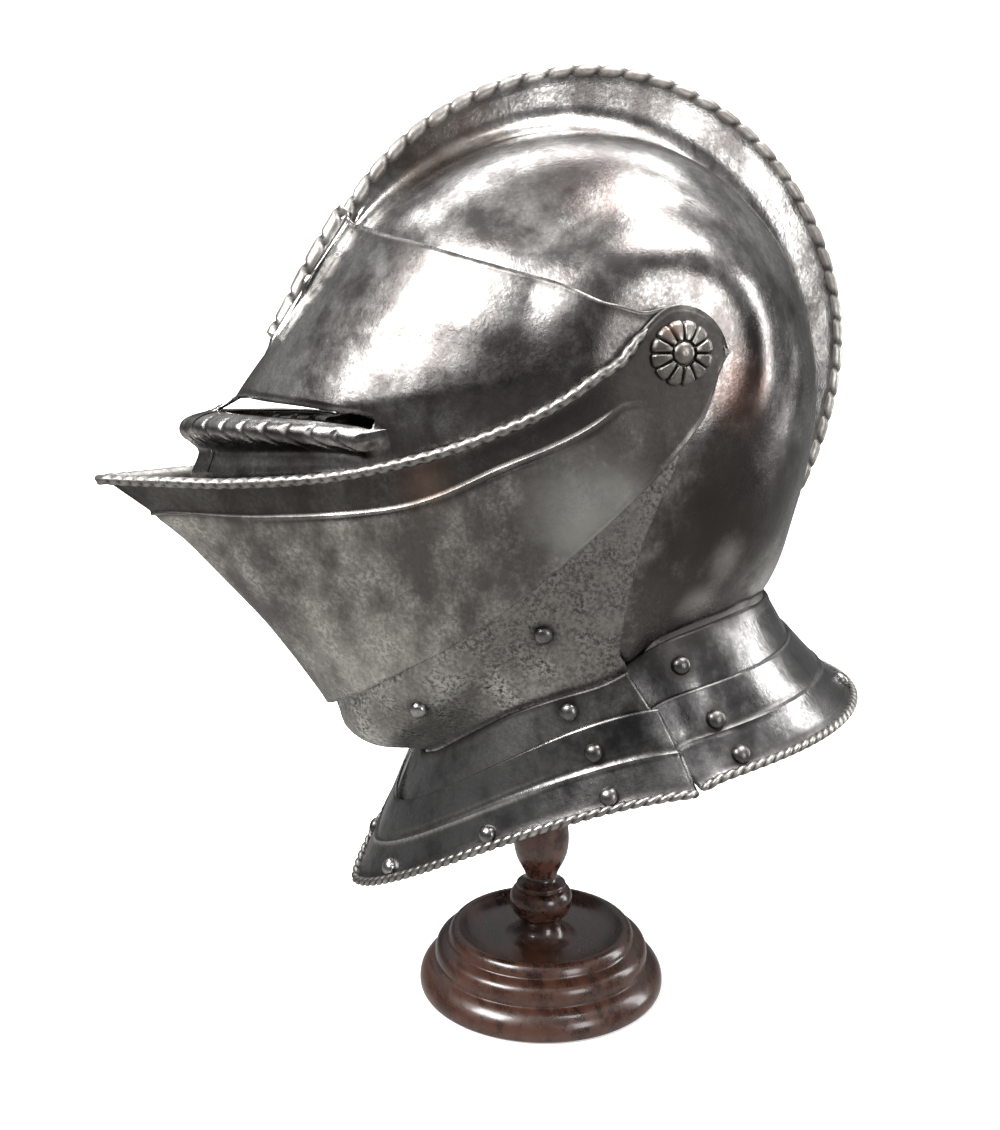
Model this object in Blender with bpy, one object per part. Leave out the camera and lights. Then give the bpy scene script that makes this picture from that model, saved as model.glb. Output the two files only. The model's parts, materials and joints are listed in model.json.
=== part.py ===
"""A tilting helm of steel plates on a turned wooden stand.

The helm faces -Y, its left side is +X, and the origin is the middle of the stand's foot.
Every plate of the helm is a shell round one axis, the line through the two pivots along X.
An angle about that axis is 0 straight ahead, 90 straight up and 180 straight back.
Tables give lengths as shares: of REACH in the side view, and of HALF_WIDTH across the helm.
"""
import math

import bmesh
import bpy
from mathutils import Vector
from mathutils.bvhtree import BVHTree

# Sheet and clearances
WALL = 0.0016
LAME_WALL = 0.0014
GAP = 0.0003
# room between two plates that slide over each other
SLIDE_GAP = 0.0007

# Where the helm is carried
PIVOT_BACK = 0.0188
PIVOT_HEIGHT = 0.2756

# The helm's own sizes
REACH = 0.100
HALF_WIDTH = 0.097
BOSS_RADIUS = 0.0225
BOSS_BLEND = 0.030
ARM_RADIUS = 0.0155
COMB_HALF_WIDTH = 0.0029
COMB_ROPE_RADIUS = 0.0037
COMB_FOOT = 0.0105
COLLAR = 0.004
COLLAR_TUCK = 0.0025
LAME_DROP = 0.0012
SEAM = 0.0008
ROLL_HEIGHT = 0.0016
ROLL_WIDTH = 0.0060

# Pivots and rivets
PIN_RADIUS = 0.0025
ROSETTE_RADIUS = 0.0107
ROSETTE_HEIGHT = 0.0034
ROSETTE_PETALS = 12
BUTTON_RADIUS = 0.0035
CLINCH_RADIUS = 0.0050
CLINCH_THICKNESS = 0.0012
RIVET_RADIUS = 0.0044
RIVET_HEIGHT = 0.0030
RIVET_SEAT = 0.0004

# The stand
BASE_RADIUS = 0.0539
BASE_HEIGHT = 0.0270
POST_RADIUS = 0.0123
POST_TURNING = 0.0455
KNOB_RADIUS = 0.030
KNOB_ROUNDING = 0.060

# How finely the shapes are divided
POST_SIDES = 16
RIVET_SIDES = 8
COMB_ROWS = 15
ARCH_COLUMNS = 5

# The layers at the pivots, from the head outwards
LAYER = WALL + SLIDE_GAP
SKULL_WIDTH = HALF_WIDTH
BEVOR_WIDTH = SKULL_WIDTH + LAYER
VISOR_WIDTH = BEVOR_WIDTH + LAYER
VENTAIL_WIDTH = VISOR_WIDTH + LAYER

# angle, reach, fullness of the arch from the pivot to the middle (1 is a keel, 2 an ellipse)
SKULL_SHAPE = (
    (10, 1.120, 2.0),
    (30, 1.030, 2.0),
    (44, 0.965, 2.0),
    (60, 0.915, 2.0),
    (80, 0.875, 2.0),
    (102, 0.850, 2.0),
    (120, 0.840, 2.0),
    (140, 0.838, 2.0),
    (158, 0.850, 2.0),
    (176, 0.875, 2.0),
    (192, 0.925, 2.0),
    (207, 0.990, 2.0),
    (221, 1.086, 2.0),
    (232.8, 1.212, 2.0),
    (240.3, 1.272, 2.0),
    (245, 1.300, 2.0),
    (255, 1.434, 2.0),
    (267, 1.620, 2.0),
    (273.9, 1.735, 2.0),
    (285, 1.670, 1.72),
)
# angle, reach of the comb's crest
SKULL_COMB = (
    (10, 1.145),
    (30, 1.142),
    (46, 1.132),
    (62, 1.125),
    (76, 1.126),
    (90, 1.134),
    (102, 1.139),
    (127, 1.142),
    (151, 1.140),
    (173, 1.145),
    (194, 1.136),
    (204, 1.138),
    (211, 1.145),
    (219, 1.163),
    (228, 1.172),
)
BROW_ANGLE = 10
COMB_END_ANGLE = 228
# angle, share of the skull's reach where the neck's edge runs, from the nape to the jaw
SKULL_NECK = (
    (232.8, 1.000),
    (233.8, 0.980),
    (236.4, 0.928),
    (240.3, 0.875),
    (245, 0.823),
    (255, 0.713),
    (267, 0.641),
    (273.9, 0.644),
    (285, 0.640),
)
CHEEK_ANGLE = 273.9

# angle, reach, fullness
BEVOR_SHAPE = (
    (-112, 1.700, 2.0),
    (-100, 1.750, 2.0),
    (-92, 1.800, 2.0),
    (-84, 1.845, 1.95),
    (-77, 1.835, 1.75),
    (-67.3, 1.785, 1.48),
    (-60.8, 1.849, 1.40),
    (-58.3, 1.855, 1.36),
    (-55.7, 1.835, 1.32),
    (-53.6, 1.785, 1.28),
    (-51.5, 1.740, 1.20),
    (-47.8, 1.680, 1.12),
    (-38, 1.660, 1.06),
    (-28, 1.660, 1.05),
)
# angle, share of the bevor's reach along its hidden upper edge, from the arm to the middle
BEVOR_TOP = ((-45, 0.26), (-45, 0.40), (-40, 0.70), (-36, 1.0))
# down the bevor's rear edge
BEVOR_REAR = ((-98, 0.130), (-93.7, 0.198), (-87.4, 0.262), (-83.2, 0.356), (-82.8, 0.424), (-83.2, 0.505),
              (-83.9, 0.580), (-86.1, 0.616))
# along the neck to the middle
BEVOR_NECK = ((-81.8, 0.648), (-76.2, 0.698), (-71.8, 0.770), (-69.3, 0.845), (-67.9, 0.910), (-67.4, 0.960),
              (-67.3, 1.0))

VENTAIL_SHAPE = (
    (-105, 1.850, 2.0),
    (-85, 1.930, 1.95),
    (-70, 1.930, 1.70),
    (-60, 1.900, 1.45),
    (-52, 1.793, 1.32),
    (-44, 1.730, 1.26),
    (-36, 1.717, 1.18),
    (-25, 1.780, 1.07),
    (-19.2, 1.868, 1.01),
    (-13.4, 2.005, 0.96),
)
VENTAIL_TOP = ((18.5, 0.080), (-6.1, 0.106), (-13.7, 0.147), (-20, 0.214), (-22.6, 0.275), (-23.2, 0.35),
               (-23, 0.441), (-22.1, 0.528), (-21, 0.612), (-19.5, 0.693), (-17, 0.815), (-15.3, 0.889),
               (-14.2, 0.950), (-13.4, 1.0))
VENTAIL_LOW = ((-126.4, 0.104), (-107.3, 0.134), (-85.6, 0.190), (-73.3, 0.271), (-66.5, 0.355), (-60, 0.513),
               (-56, 0.685), (-53.7, 0.810), (-52.6, 0.912), (-52, 1.0))

VISOR_SHAPE = (
    (-10, 1.520, 1.42),
    (-6.4, 1.438, 1.50),
    (1.5, 1.290, 1.65),
    (10, 1.185, 1.80),
    (15, 1.140, 1.85),
    (25, 1.088, 1.90),
    (40, 1.060, 1.95),
)
# angle, reach of the crest of the visor's comb
VISOR_COMB = ((0, 1.310), (1.5, 1.325), (8, 1.265), (15, 1.222), (22, 1.192), (26, 1.180), (30, 1.175))
VISOR_TOP = ((48, 0.170), (36.8, 0.240), (32, 0.300), (30.5, 0.420), (28.6, 0.500), (27, 0.585), (25.7, 0.727),
             (25.5, 0.814), (25.5, 0.910))
VISOR_TOP_MIDDLE = 26.5
VISOR_COMB_TOP = 29.5
# the sight's upper edge, from the arm towards the middle
VISOR_SIGHT = ((-60, 0.130), (-30, 0.300), (-18.5, 0.500), (-14.6, 0.620), (-11.7, 0.685), (-10.0, 0.746),
               (-8.6, 0.820), (-7.1, 0.930))
SIGHT_MIDDLE = -6.4
# degrees below the sight's upper edge, reach and fullness where the lip stands out, then where it doesn't
VISOR_STEP = (
    (0.0, 1.438, 1.50, 1.438, 1.50),
    (1.7, 1.549, 1.38, 1.452, 1.48),
    (2.2, 1.669, 1.30, 1.460, 1.47),
    (4.4, 1.672, 1.28, 1.495, 1.43),
    (5.9, 1.640, 1.25, 1.530, 1.38),
    (7.0, 1.625, 1.22, 1.560, 1.34),
    (9.5, 1.680, 1.18, 1.630, 1.22),
    (12.0, 1.680, 1.16, 1.680, 1.16),
)
SIGHT_END = 0.655
LIP_END = 0.64
# how many columns beside the middle stay closed between the two slits
SIGHT_BRIDGE = 2

# The neck defence: forward and up in shares of REACH from the pivot, half width in shares of HALF_WIDTH
# name: front forward, front up, half width, seam forward, seam up, rear forward, rear up, fullness in front
GORGET_RINGS = {
    "lame_low": (0.752, -1.880, 0.812, -0.052, -1.346, -0.792, -1.186, 1.75),
    "plate_top": (0.830, -1.845, 0.862, -0.032, -1.276, -0.855, -1.126, 1.60),
    "step": (0.915, -2.024, 0.918, -0.098, -1.430, -0.998, -1.276, 1.55),
    "bottom": (0.999, -2.196, 0.990, -0.142, -1.566, -1.142, -1.396, 1.50),
}
GORGET_DIP = 1.70
GORGET_RISE = 0.50

# rivets on the bevor: angle, share of reach; on the gorget: share along from seam to middle, share down
BEVOR_RIVETS = ((-59.8, 0.842), (-68.9, 0.600))
FRONT_LAME_RIVETS = ((0.22, 0.30),)
FRONT_PLATE_RIVETS = ((0.20, 0.20), (0.19, 0.60), (0.50, 0.60), (0.84, 0.60))
REAR_LAME_RIVETS = ((0.14, 0.40),)
REAR_PLATE_RIVETS = ((0.12, 0.24), (0.13, 0.52), (0.78, 0.60))

# radius in shares of BASE_RADIUS, height in shares of BASE_HEIGHT
BASE_TURNING = (
    (0.92, 0.0), (1.0, 0.13), (0.985, 0.26), (0.925, 0.42), (0.866, 0.50), (0.862, 0.62), (0.835, 0.74),
    (0.760, 0.82), (0.735, 0.90), (0.715, 0.985), (0.675, 1.0), (0.630, 0.96), (0.560, 0.84), (0.300, 0.80),
)
# radius in shares of POST_RADIUS, height in shares of POST_TURNING above the base
POST_TURNING_ROWS = (
    (0.90, -0.08), (0.68, 0.06), (1.03, 0.19), (1.11, 0.28), (0.98, 0.37), (0.78, 0.395),
    (0.82, 0.43), (0.52, 0.48), (0.66, 0.56), (0.92, 0.68), (1.0, 0.82), (0.95, 1.0),
    (0.74, 1.40), (0.62, 1.90),
)

STEEL = ((0.42, 0.41, 0.40), 0.32, 1.0)
DARK_STEEL = ((0.30, 0.29, 0.29), 0.36, 1.0)
WOOD = ((0.10, 0.035, 0.022), 0.30, 0.0)


def along(rows, place, column):
    """Read one column of a table on a smooth curve through its rows, at a place in the first column."""
    places = [row[0] for row in rows]
    values = [row[column] for row in rows]
    if place <= places[0]:
        return values[0]
    if place >= places[-1]:
        return values[-1]
    i = max(k for k in range(len(places) - 1) if places[k] <= place)

    def slope(k):
        low = max(k - 1, 0)
        high = min(k + 1, len(places) - 1)
        return (values[high] - values[low]) / (places[high] - places[low])

    step = places[i + 1] - places[i]
    t = (place - places[i]) / step
    rise = values[i + 1] - values[i]
    bend_a = slope(i) * step - rise
    bend_b = rise - slope(i + 1) * step
    return values[i] + t * rise + t * (1 - t) * (bend_a * (1 - t) + bend_b * t)


def ease(low, high, value):
    """Go smoothly from 0 at low to 1 at high."""
    t = min(max((value - low) / (high - low), 0.0), 1.0)
    return t * t * (3 - 2 * t)


def mix(a, b, t):
    return a + (b - a) * t


def side_point(angle, radius, x=0.0):
    """A point at an angle and a distance about the pivots' axis."""
    a = math.radians(angle)
    return Vector((x, PIVOT_BACK - radius * math.cos(a), PIVOT_HEIGHT + radius * math.sin(a)))


def arch_x(width, reach, fullness, radius):
    """How far out the arch stands at a distance from the axis: flat round the pivot, 0 at its reach."""
    share = min(radius / reach, 1.0)
    drop = width * (1 - (1 - share * share) ** (1 / fullness))
    return width - drop * ease(BOSS_RADIUS, BOSS_RADIUS + BOSS_BLEND, radius)


def arch_radius(width, reach, fullness, x):
    """The distance from the axis at which an arch stands x away from the middle, near the middle."""
    return reach * math.sqrt(max(1 - (x / width) ** fullness, 0.0))


def shape_at(shape, angle):
    return REACH * along(shape, angle, 1), along(shape, angle, 2)


def path(points, count):
    """Spread a count of points evenly along a smooth curve through a few points."""
    dense = []
    last = len(points) - 1
    for i in range(last):
        before = points[max(i - 1, 0)]
        after = points[min(i + 2, last)]
        for k in range(8):
            t = k / 8
            tangent_a = (points[i + 1] - before) / 2
            tangent_b = (after - points[i]) / 2
            h = t * t * (3 - 2 * t)
            dense.append(points[i].lerp(points[i + 1], h)
                         + tangent_a * (t * (1 - t) ** 2) - tangent_b * (t * t * (1 - t)))
    dense.append(points[last])
    lengths = [0.0]
    for a, b in zip(dense, dense[1:]):
        lengths.append(lengths[-1] + (b - a).length)
    result = []
    for k in range(count):
        goal = lengths[-1] * k / (count - 1)
        i = max(n for n in range(len(lengths) - 1) if lengths[n] <= goal + 1e-12)
        span = max(lengths[i + 1] - lengths[i], 1e-12)
        result.append(dense[i].lerp(dense[i + 1], min((goal - lengths[i]) / span, 1.0)))
    return result


def table_points(shape, width, rows):
    """Points of a shell at a table's angles and shares of its reach."""
    points = []
    for angle, share in rows:
        reach, fullness = shape_at(shape, angle)
        points.append(side_point(angle, reach * share, arch_x(width, reach, fullness, reach * share)))
    return points


def edge_points(shape, width, rows, turn_to):
    """An arm's edge: round its end from straight behind the pivot, then through a table's rows."""
    start = 180 if turn_to > 0 else -180
    round_end = [side_point(mix(start, turn_to, k / 3), ARM_RADIUS, width) for k in range(4)]
    return round_end + table_points(shape, width, rows)


def polar(point):
    """The angle about the axis, between -180 and 180, and the distance from it."""
    forward = PIVOT_BACK - point.y
    up = point.z - PIVOT_HEIGHT
    return math.degrees(math.atan2(up, forward)), math.hypot(forward, up)


def between(shape, top, low, share, roundness):
    """A side-view place between two edge points: straight across near the arm's end, by angle further on."""
    straight = top.lerp(low, share)
    angle_a, radius_a = polar(top)
    angle_b, radius_b = polar(low)
    if roundness <= 0:
        return polar(straight)
    theta_a = math.asin(min(radius_a / shape_at(shape, angle_a)[0], 1.0))
    theta_b = math.asin(min(radius_b / shape_at(shape, angle_b)[0], 1.0))
    angle = mix(angle_a, angle_b, share)
    radius = shape_at(shape, angle)[0] * math.sin(mix(theta_a, theta_b, share))
    return polar(straight.lerp(side_point(angle, radius), roundness))


def material(name, colour, roughness, metallic):
    made = bpy.data.materials.new(name)
    made.use_nodes = True
    shader = made.node_tree.nodes["Principled BSDF"]
    shader.inputs["Base Color"].default_value = (*colour, 1.0)
    shader.inputs["Roughness"].default_value = roughness
    shader.inputs["Metallic"].default_value = metallic
    return made


def add_object(name, bm, look):
    mesh = bpy.data.meshes.new(name)
    bm.to_mesh(mesh)
    bm.free()
    made = bpy.data.objects.new(name, mesh)
    bpy.context.scene.collection.objects.link(made)
    mesh.materials.append(material(name + "_look", *look))
    mesh.shade_smooth()
    mesh.set_sharp_from_angle(angle=math.radians(35))
    return made


def helm_middle():
    return Vector((0, PIVOT_BACK, PIVOT_HEIGHT - REACH))


def sheet(name, grids, wall, look):
    """Beaten sheet: grids of points on one half's outer side, mirrored, joined and given a thickness."""
    bm = bmesh.new()
    for grid, keep in grids:
        for side in (1, -1):
            rows = [[bm.verts.new((side * p.x, p.y, p.z)) for p in row] for row in grid]
            for i in range(len(rows) - 1):
                for j in range(len(rows[i]) - 1):
                    if not keep(i, j):
                        continue
                    corners = (rows[i][j], rows[i + 1][j], rows[i + 1][j + 1], rows[i][j + 1])
                    bm.faces.new(corners if side > 0 else corners[::-1])
    bmesh.ops.remove_doubles(bm, verts=bm.verts, dist=0.00002)
    loose = [v for v in bm.verts if not v.link_faces]
    bmesh.ops.delete(bm, geom=loose, context="VERTS")
    bmesh.ops.recalc_face_normals(bm, faces=bm.faces)
    middle = helm_middle()
    outward = sum(f.normal.dot(f.calc_center_median() - middle) * f.calc_area() for f in bm.faces)
    if outward < 0:
        bmesh.ops.reverse_faces(bm, faces=bm.faces)
    made = add_object(name, bm, look)
    thick = made.modifiers.new("thickness", "SOLIDIFY")
    thick.thickness = wall
    thick.offset = -1
    thick.use_even_offset = False
    return made


def cut(target, cutter):
    made = target.modifiers.new(cutter.name, "BOOLEAN")
    made.operation = "DIFFERENCE"
    made.solver = "EXACT"
    made.object = cutter


def everywhere(i, j):
    return True


def collar_point(point):
    """The low end of the collar below a point of the neck's edge, tucked in so that the lame clears it."""
    inwards = Vector((-point.x, PIVOT_BACK - point.y, 0)).normalized()
    return point + inwards * COLLAR_TUCK + Vector((0, 0, -COLLAR))


def roll_shares(length):
    """Where the rows of a rolled edge lie, as shares of a column's length from that edge."""
    width = min(ROLL_WIDTH, length * 0.3)
    return [0.0, 0.25 * width / length, 0.75 * width / length, width / length]


def raise_edge(grid, heights, fades):
    """Lift the first rows of every column outwards, to make a rolled edge that may fade on an arm."""
    middle = helm_middle()
    lifted = []
    for k, column in enumerate(grid):
        before = grid[max(k - 1, 0)]
        after = grid[min(k + 1, len(grid) - 1)]
        full = ease(ARM_RADIUS * 1.3, ARM_RADIUS * 2.3, polar(column[0])[1]) if fades else 1.0
        moved = list(column)
        for j, height in enumerate(heights):
            across = after[j] - before[j]
            down = column[j + 1] - column[max(j - 1, 0)]
            out = across.cross(down)
            if k == len(grid) - 1:
                out.x = 0
            if out.dot(column[j] - middle) < 0:
                out = -out
            if out.length > 0:
                moved[j] = column[j] + out.normalized() * height * full
        lifted.append(moved)
    return lifted


def comb_columns():
    """The comb's section from its foot to its crest: distance from the middle, share of the comb's height."""
    rope = COMB_ROPE_RADIUS
    return (
        (COMB_FOOT * 0.62, 0.05),
        (mix(COMB_HALF_WIDTH, COMB_FOOT, 0.15), 0.22),
        (COMB_HALF_WIDTH, 0.78),
        (rope, 0.88),
        (rope * 0.72, 0.97),
        (0.0, 1.0),
    )


def comb_points(width, reach, fullness, crest, widen):
    """Distance out and radius down the comb's section, which flattens into the arch where the comb fades."""
    columns = comb_columns()
    height = max(crest - reach, 0.0)
    stand = ease(0.0, COMB_ROPE_RADIUS, height)
    points = []
    for k, (x, share) in enumerate(columns):
        even = (COMB_FOOT + widen) * (1 - (k + 1) / len(columns))
        out = mix(even, x + widen if x > 0 else 0.0, stand)
        points.append((out, arch_radius(width, reach, fullness, out) + height * share))
    return points


def foot_share(width, fullness, widen):
    """Share of the reach at which the comb's foot meets the arch."""
    return arch_radius(width, 1.0, fullness, COMB_FOOT + widen)


def skull_rows():
    """The skull's rows: the angle, and the points from the boss round the pivot to the middle or the neck."""
    angles = [mix(BROW_ANGLE, COMB_END_ANGLE, k / COMB_ROWS) for k in range(COMB_ROWS + 1)]
    rows = []
    for angle in angles + [SKULL_NECK[0][0]]:
        reach, fullness = shape_at(SKULL_SHAPE, angle)
        crest = REACH * along(SKULL_COMB, angle, 1) if angle < COMB_END_ANGLE else reach
        theta_a = math.asin(BOSS_RADIUS / reach)
        theta_b = math.asin(foot_share(SKULL_WIDTH, fullness, 0.0))
        points = []
        for j in range(ARCH_COLUMNS + 1):
            radius = reach * math.sin(mix(theta_a, theta_b, j / ARCH_COLUMNS))
            points.append(side_point(angle, radius, arch_x(SKULL_WIDTH, reach, fullness, radius)))
        for x, radius in comb_points(SKULL_WIDTH, reach, fullness, crest, 0.0):
            points.append(side_point(angle, radius, x))
        rows.append((angle, points))
    nape_angle, nape = rows[-1]
    nape_reach = shape_at(SKULL_SHAPE, nape_angle)[0]
    start = math.asin(BOSS_RADIUS / nape_reach)
    spacing = [(math.asin(min(polar(p)[1] / nape_reach, 1.0)) - start) / (math.pi / 2 - start) for p in nape]
    for k, (angle, share) in enumerate(SKULL_NECK[1:]):
        reach, fullness = shape_at(SKULL_SHAPE, angle)
        evenness = min((k + 1) / 4, 1.0)
        points = []
        for j, crowded in enumerate(spacing):
            place = mix(crowded, j / (len(spacing) - 1), evenness)
            radius = reach * math.sin(mix(math.asin(BOSS_RADIUS / reach), math.asin(share), place))
            points.append(side_point(angle, radius, arch_x(SKULL_WIDTH, reach, fullness, radius)))
        rows.append((angle, points))
    return rows


def make_skull():
    rows = skull_rows()
    nape = SKULL_NECK[0][0]
    outer = [points + [collar_point(points[-1])] for _, points in rows]
    neck_from = [k for k, row in enumerate(rows) if row[0] >= nape][0]
    last = len(outer[0]) - 2

    def keep(i, j):
        return j < last or i >= neck_from

    boss_angles = [row[0] for row in rows] + [304, 323, 342, 361, 370]
    boss = [[side_point(angle, BOSS_RADIUS * share, SKULL_WIDTH) for share in (0.0, 1.0)]
            for angle in boss_angles]
    return sheet("skull", [(outer, keep), (boss, everywhere)], WALL, STEEL)


def make_ventail():
    top = edge_points(VENTAIL_SHAPE, VENTAIL_WIDTH, VENTAIL_TOP, 70)
    low = edge_points(VENTAIL_SHAPE, VENTAIL_WIDTH, VENTAIL_LOW, -150)
    count = 17
    tops = path(top, count)
    lows = path(low, count)
    grid = []
    for k in range(count):
        length = max((tops[k] - lows[k]).length, 0.0001)
        rolled = roll_shares(length)
        shares = rolled + [mix(rolled[-1], 1.0, n / 5) for n in range(1, 6)]
        column = []
        for share in shares:
            turn = ease(0.16, 0.42, k / (count - 1))
            angle, radius = between(VENTAIL_SHAPE, tops[k], lows[k], share, turn)
            reach, fullness = shape_at(VENTAIL_SHAPE, angle)
            if k == count - 1:
                column.append(side_point(angle, reach))
            else:
                column.append(side_point(angle, radius, arch_x(VENTAIL_WIDTH, reach, fullness, radius)))
        grid.append(column)
    grid = raise_edge(grid, (ROLL_HEIGHT * 0.6, ROLL_HEIGHT, ROLL_HEIGHT * 0.8), True)
    return sheet("ventail", [(grid, everywhere)], WALL, STEEL)


def bevor_low_edge():
    """The bevor's rear edge down to its corner at the neck, and the neck's edge from there."""
    rear = edge_points(BEVOR_SHAPE, BEVOR_WIDTH, BEVOR_REAR, -130)
    neck = table_points(BEVOR_SHAPE, BEVOR_WIDTH, BEVOR_REAR[-1:] + BEVOR_NECK)
    neck[-1].x = 0.0
    return rear, neck


def make_bevor():
    count_rear = 8
    count_neck = 11
    rear, neck = bevor_low_edge()
    lows = path(rear, count_rear) + path(neck, count_neck)[1:]
    count = len(lows)
    tops = path(edge_points(BEVOR_SHAPE, BEVOR_WIDTH, BEVOR_TOP, 40), count)
    row_count = 7
    grid = []
    for k in range(count):
        column = []
        for n in range(row_count + 1):
            turn = ease(0.12, 0.40, k / (count - 1))
            angle, radius = between(BEVOR_SHAPE, tops[k], lows[k], n / row_count, turn)
            reach, fullness = shape_at(BEVOR_SHAPE, angle)
            if k == count - 1:
                column.append(side_point(angle, reach))
            else:
                column.append(side_point(angle, radius, arch_x(BEVOR_WIDTH, reach, fullness, radius)))
        column.append(collar_point(column[-1]))
        grid.append(column)

    def keep(i, j):
        return j < row_count or i >= count_rear - 1

    return sheet("bevor", [(grid, keep)], WALL, STEEL)


def visor_section(below, lip):
    """Reach and fullness at some degrees below the sight's upper edge, with lip 1 where the lip stands out."""
    reach = REACH * mix(along(VISOR_STEP, below, 3), along(VISOR_STEP, below, 1), lip)
    fullness = mix(along(VISOR_STEP, below, 4), along(VISOR_STEP, below, 2), lip)
    return reach, fullness


def visor_edge(rows, middle_angle, turn_to, count):
    """An edge of the visor from the arm's end to the foot of its comb."""
    _, fullness = shape_at(VISOR_SHAPE, middle_angle)
    last = (middle_angle, foot_share(VISOR_WIDTH, fullness, LAYER))
    return path(edge_points(VISOR_SHAPE, VISOR_WIDTH, rows + (last,), turn_to), count)


def make_visor():
    count = 13
    upper_rows = 5
    top = visor_edge(VISOR_TOP, VISOR_TOP_MIDDLE, 75, count)
    sight = visor_edge(VISOR_SIGHT, SIGHT_MIDDLE, -75, count)
    grid = []
    shares = []
    for k in range(count):
        column = []
        for n in range(upper_rows + 1):
            turn = ease(0.16, 0.42, k / (count - 1))
            angle, radius = between(VISOR_SHAPE, top[k], sight[k], n / upper_rows, turn)
            reach, fullness = shape_at(VISOR_SHAPE, angle)
            column.append(side_point(angle, radius, arch_x(VISOR_WIDTH, reach, fullness, radius)))
        angle, radius = polar(sight[k])
        share = min(radius / shape_at(VISOR_SHAPE, angle)[0], 1.0)
        lip = ease(LIP_END - 0.05, LIP_END, share)
        fade = ease(ARM_RADIUS, ARM_RADIUS * 2.5, radius)
        for row in VISOR_STEP[1:]:
            reach, fullness = visor_section(row[0], lip)
            low = mix(radius, reach * share, fade)
            column.append(side_point(angle - row[0] * fade, low, arch_x(VISOR_WIDTH, reach, fullness, low)))
        grid.append(column)
        shares.append(share)
    for k in range(len(comb_columns())):
        column = []
        top_angle = mix(VISOR_TOP_MIDDLE, VISOR_COMB_TOP, (k + 1) / len(comb_columns()))
        for n in range(upper_rows + 1):
            angle = mix(top_angle, SIGHT_MIDDLE, n / upper_rows)
            reach, fullness = shape_at(VISOR_SHAPE, angle)
            crest = REACH * along(VISOR_COMB, angle, 1) if angle > VISOR_COMB[0][0] else reach
            x, radius = comb_points(VISOR_WIDTH, reach, fullness, crest, LAYER)[k]
            column.append(side_point(angle, radius, x))
        for row in VISOR_STEP[1:]:
            reach, fullness = visor_section(row[0], 1.0)
            x, radius = comb_points(VISOR_WIDTH, reach, fullness, reach, LAYER)[k]
            column.append(side_point(SIGHT_MIDDLE - row[0], radius, x))
        grid.append(column)
        shares.append(1.0)

    def keep(i, j):
        in_slit = j == upper_rows and shares[i] > SIGHT_END and i < len(grid) - 1 - SIGHT_BRIDGE
        return not in_slit

    return sheet("visor", [(grid, keep)], WALL, STEEL)


def ring_point(name, turn):
    """A point of a gorget ring: turn 0 is the front, 90 the seam at the side and 180 the rear."""
    front_fwd, front_up, wide, seam_fwd, seam_up, rear_fwd, rear_up, fullness = GORGET_RINGS[name]
    in_front = turn <= 90
    a = math.radians(turn)
    bow = fullness if in_front else 2.0
    run = abs(math.cos(a)) ** (2 / bow)
    forward = mix(seam_fwd, front_fwd if in_front else rear_fwd, run)
    up = mix(seam_up, front_up, run ** GORGET_DIP) if in_front else mix(seam_up, rear_up, run ** GORGET_RISE)
    x = HALF_WIDTH * wide * math.sin(a) ** (2 / bow)
    return Vector((x, PIVOT_BACK - REACH * forward, PIVOT_HEIGHT + REACH * up))


def outward_of(points):
    """Level directions out of a curve of points round the neck, one for each point."""
    middle = Vector((0, PIVOT_BACK, 0))
    result = []
    for k in range(len(points)):
        step = points[min(k + 1, len(points) - 1)] - points[max(k - 1, 0)]
        out = Vector((step.y, -step.x, 0))
        if k == len(points) - 1:
            out.x = 0
        if out.dot(points[k] - middle) < 0:
            out = -out
        result.append(out.normalized())
    return result


def ring_curve(name, front, count):
    start = 90 if front else 90 + math.degrees(SEAM / REACH)
    end = 0 if front else 180
    fine = [ring_point(name, mix(start, end, k / 24)) for k in range(25)]
    points = path(fine, count)
    points[-1].x = 0.0
    return points


def neck_curve(neck, front, count):
    points = path(neck, count)
    down = Vector((0, 0, -LAME_DROP))
    moved = [p + o * (GAP + LAME_WALL) + down for p, o in zip(points, outward_of(points))]
    if not front:
        moved[0].y += SEAM
    moved[-1].x = 0.0
    return moved


def downwards(rows, parts, roll):
    """Columns down a gorget plate through its rows, with closer rows at its rolled lower edge."""
    columns = []
    for places in zip(*rows):
        column = []
        for n, (a, b) in enumerate(zip(places, places[1:])):
            column += [a.lerp(b, k / parts) for k in range(parts)]
        if roll:
            length = (places[-1] - places[-2]).length
            close = [places[-1].lerp(places[-2], share) for share in roll_shares(length)]
            column = column[:-1] + close[::-1]
        else:
            column.append(places[-1])
        columns.append(column)
    return columns


def rolled_low(columns):
    turned_over = [column[::-1] for column in columns]
    raised = raise_edge(turned_over, (ROLL_HEIGHT * 0.3, ROLL_HEIGHT * 0.5, ROLL_HEIGHT * 0.3), False)
    return [column[::-1] for column in raised]


def make_gorget():
    _, bevor_neck = bevor_low_edge()
    nape = SKULL_NECK[0][0]
    rear_neck = [points[-1] for angle, points in skull_rows() if nape <= angle <= CHEEK_ANGLE][::-1]
    made = {}
    count = 10
    for front in (True, False):
        word = "front" if front else "rear"
        top = neck_curve(bevor_neck if front else rear_neck, front, count)
        lame = downwards([top, ring_curve("lame_low", front, count)], 3, False)
        rings = [ring_curve(name, front, count) for name in ("plate_top", "step", "bottom")]
        plate = rolled_low(downwards(rings, 2, True))
        made[word + "_lame"] = lame
        made[word + "_plate"] = plate
        sheet(word + "_lame", [(lame, everywhere)], LAME_WALL, DARK_STEEL)
        sheet(word + "_plate", [(plate, everywhere)], LAME_WALL, DARK_STEEL)
    return made


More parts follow.
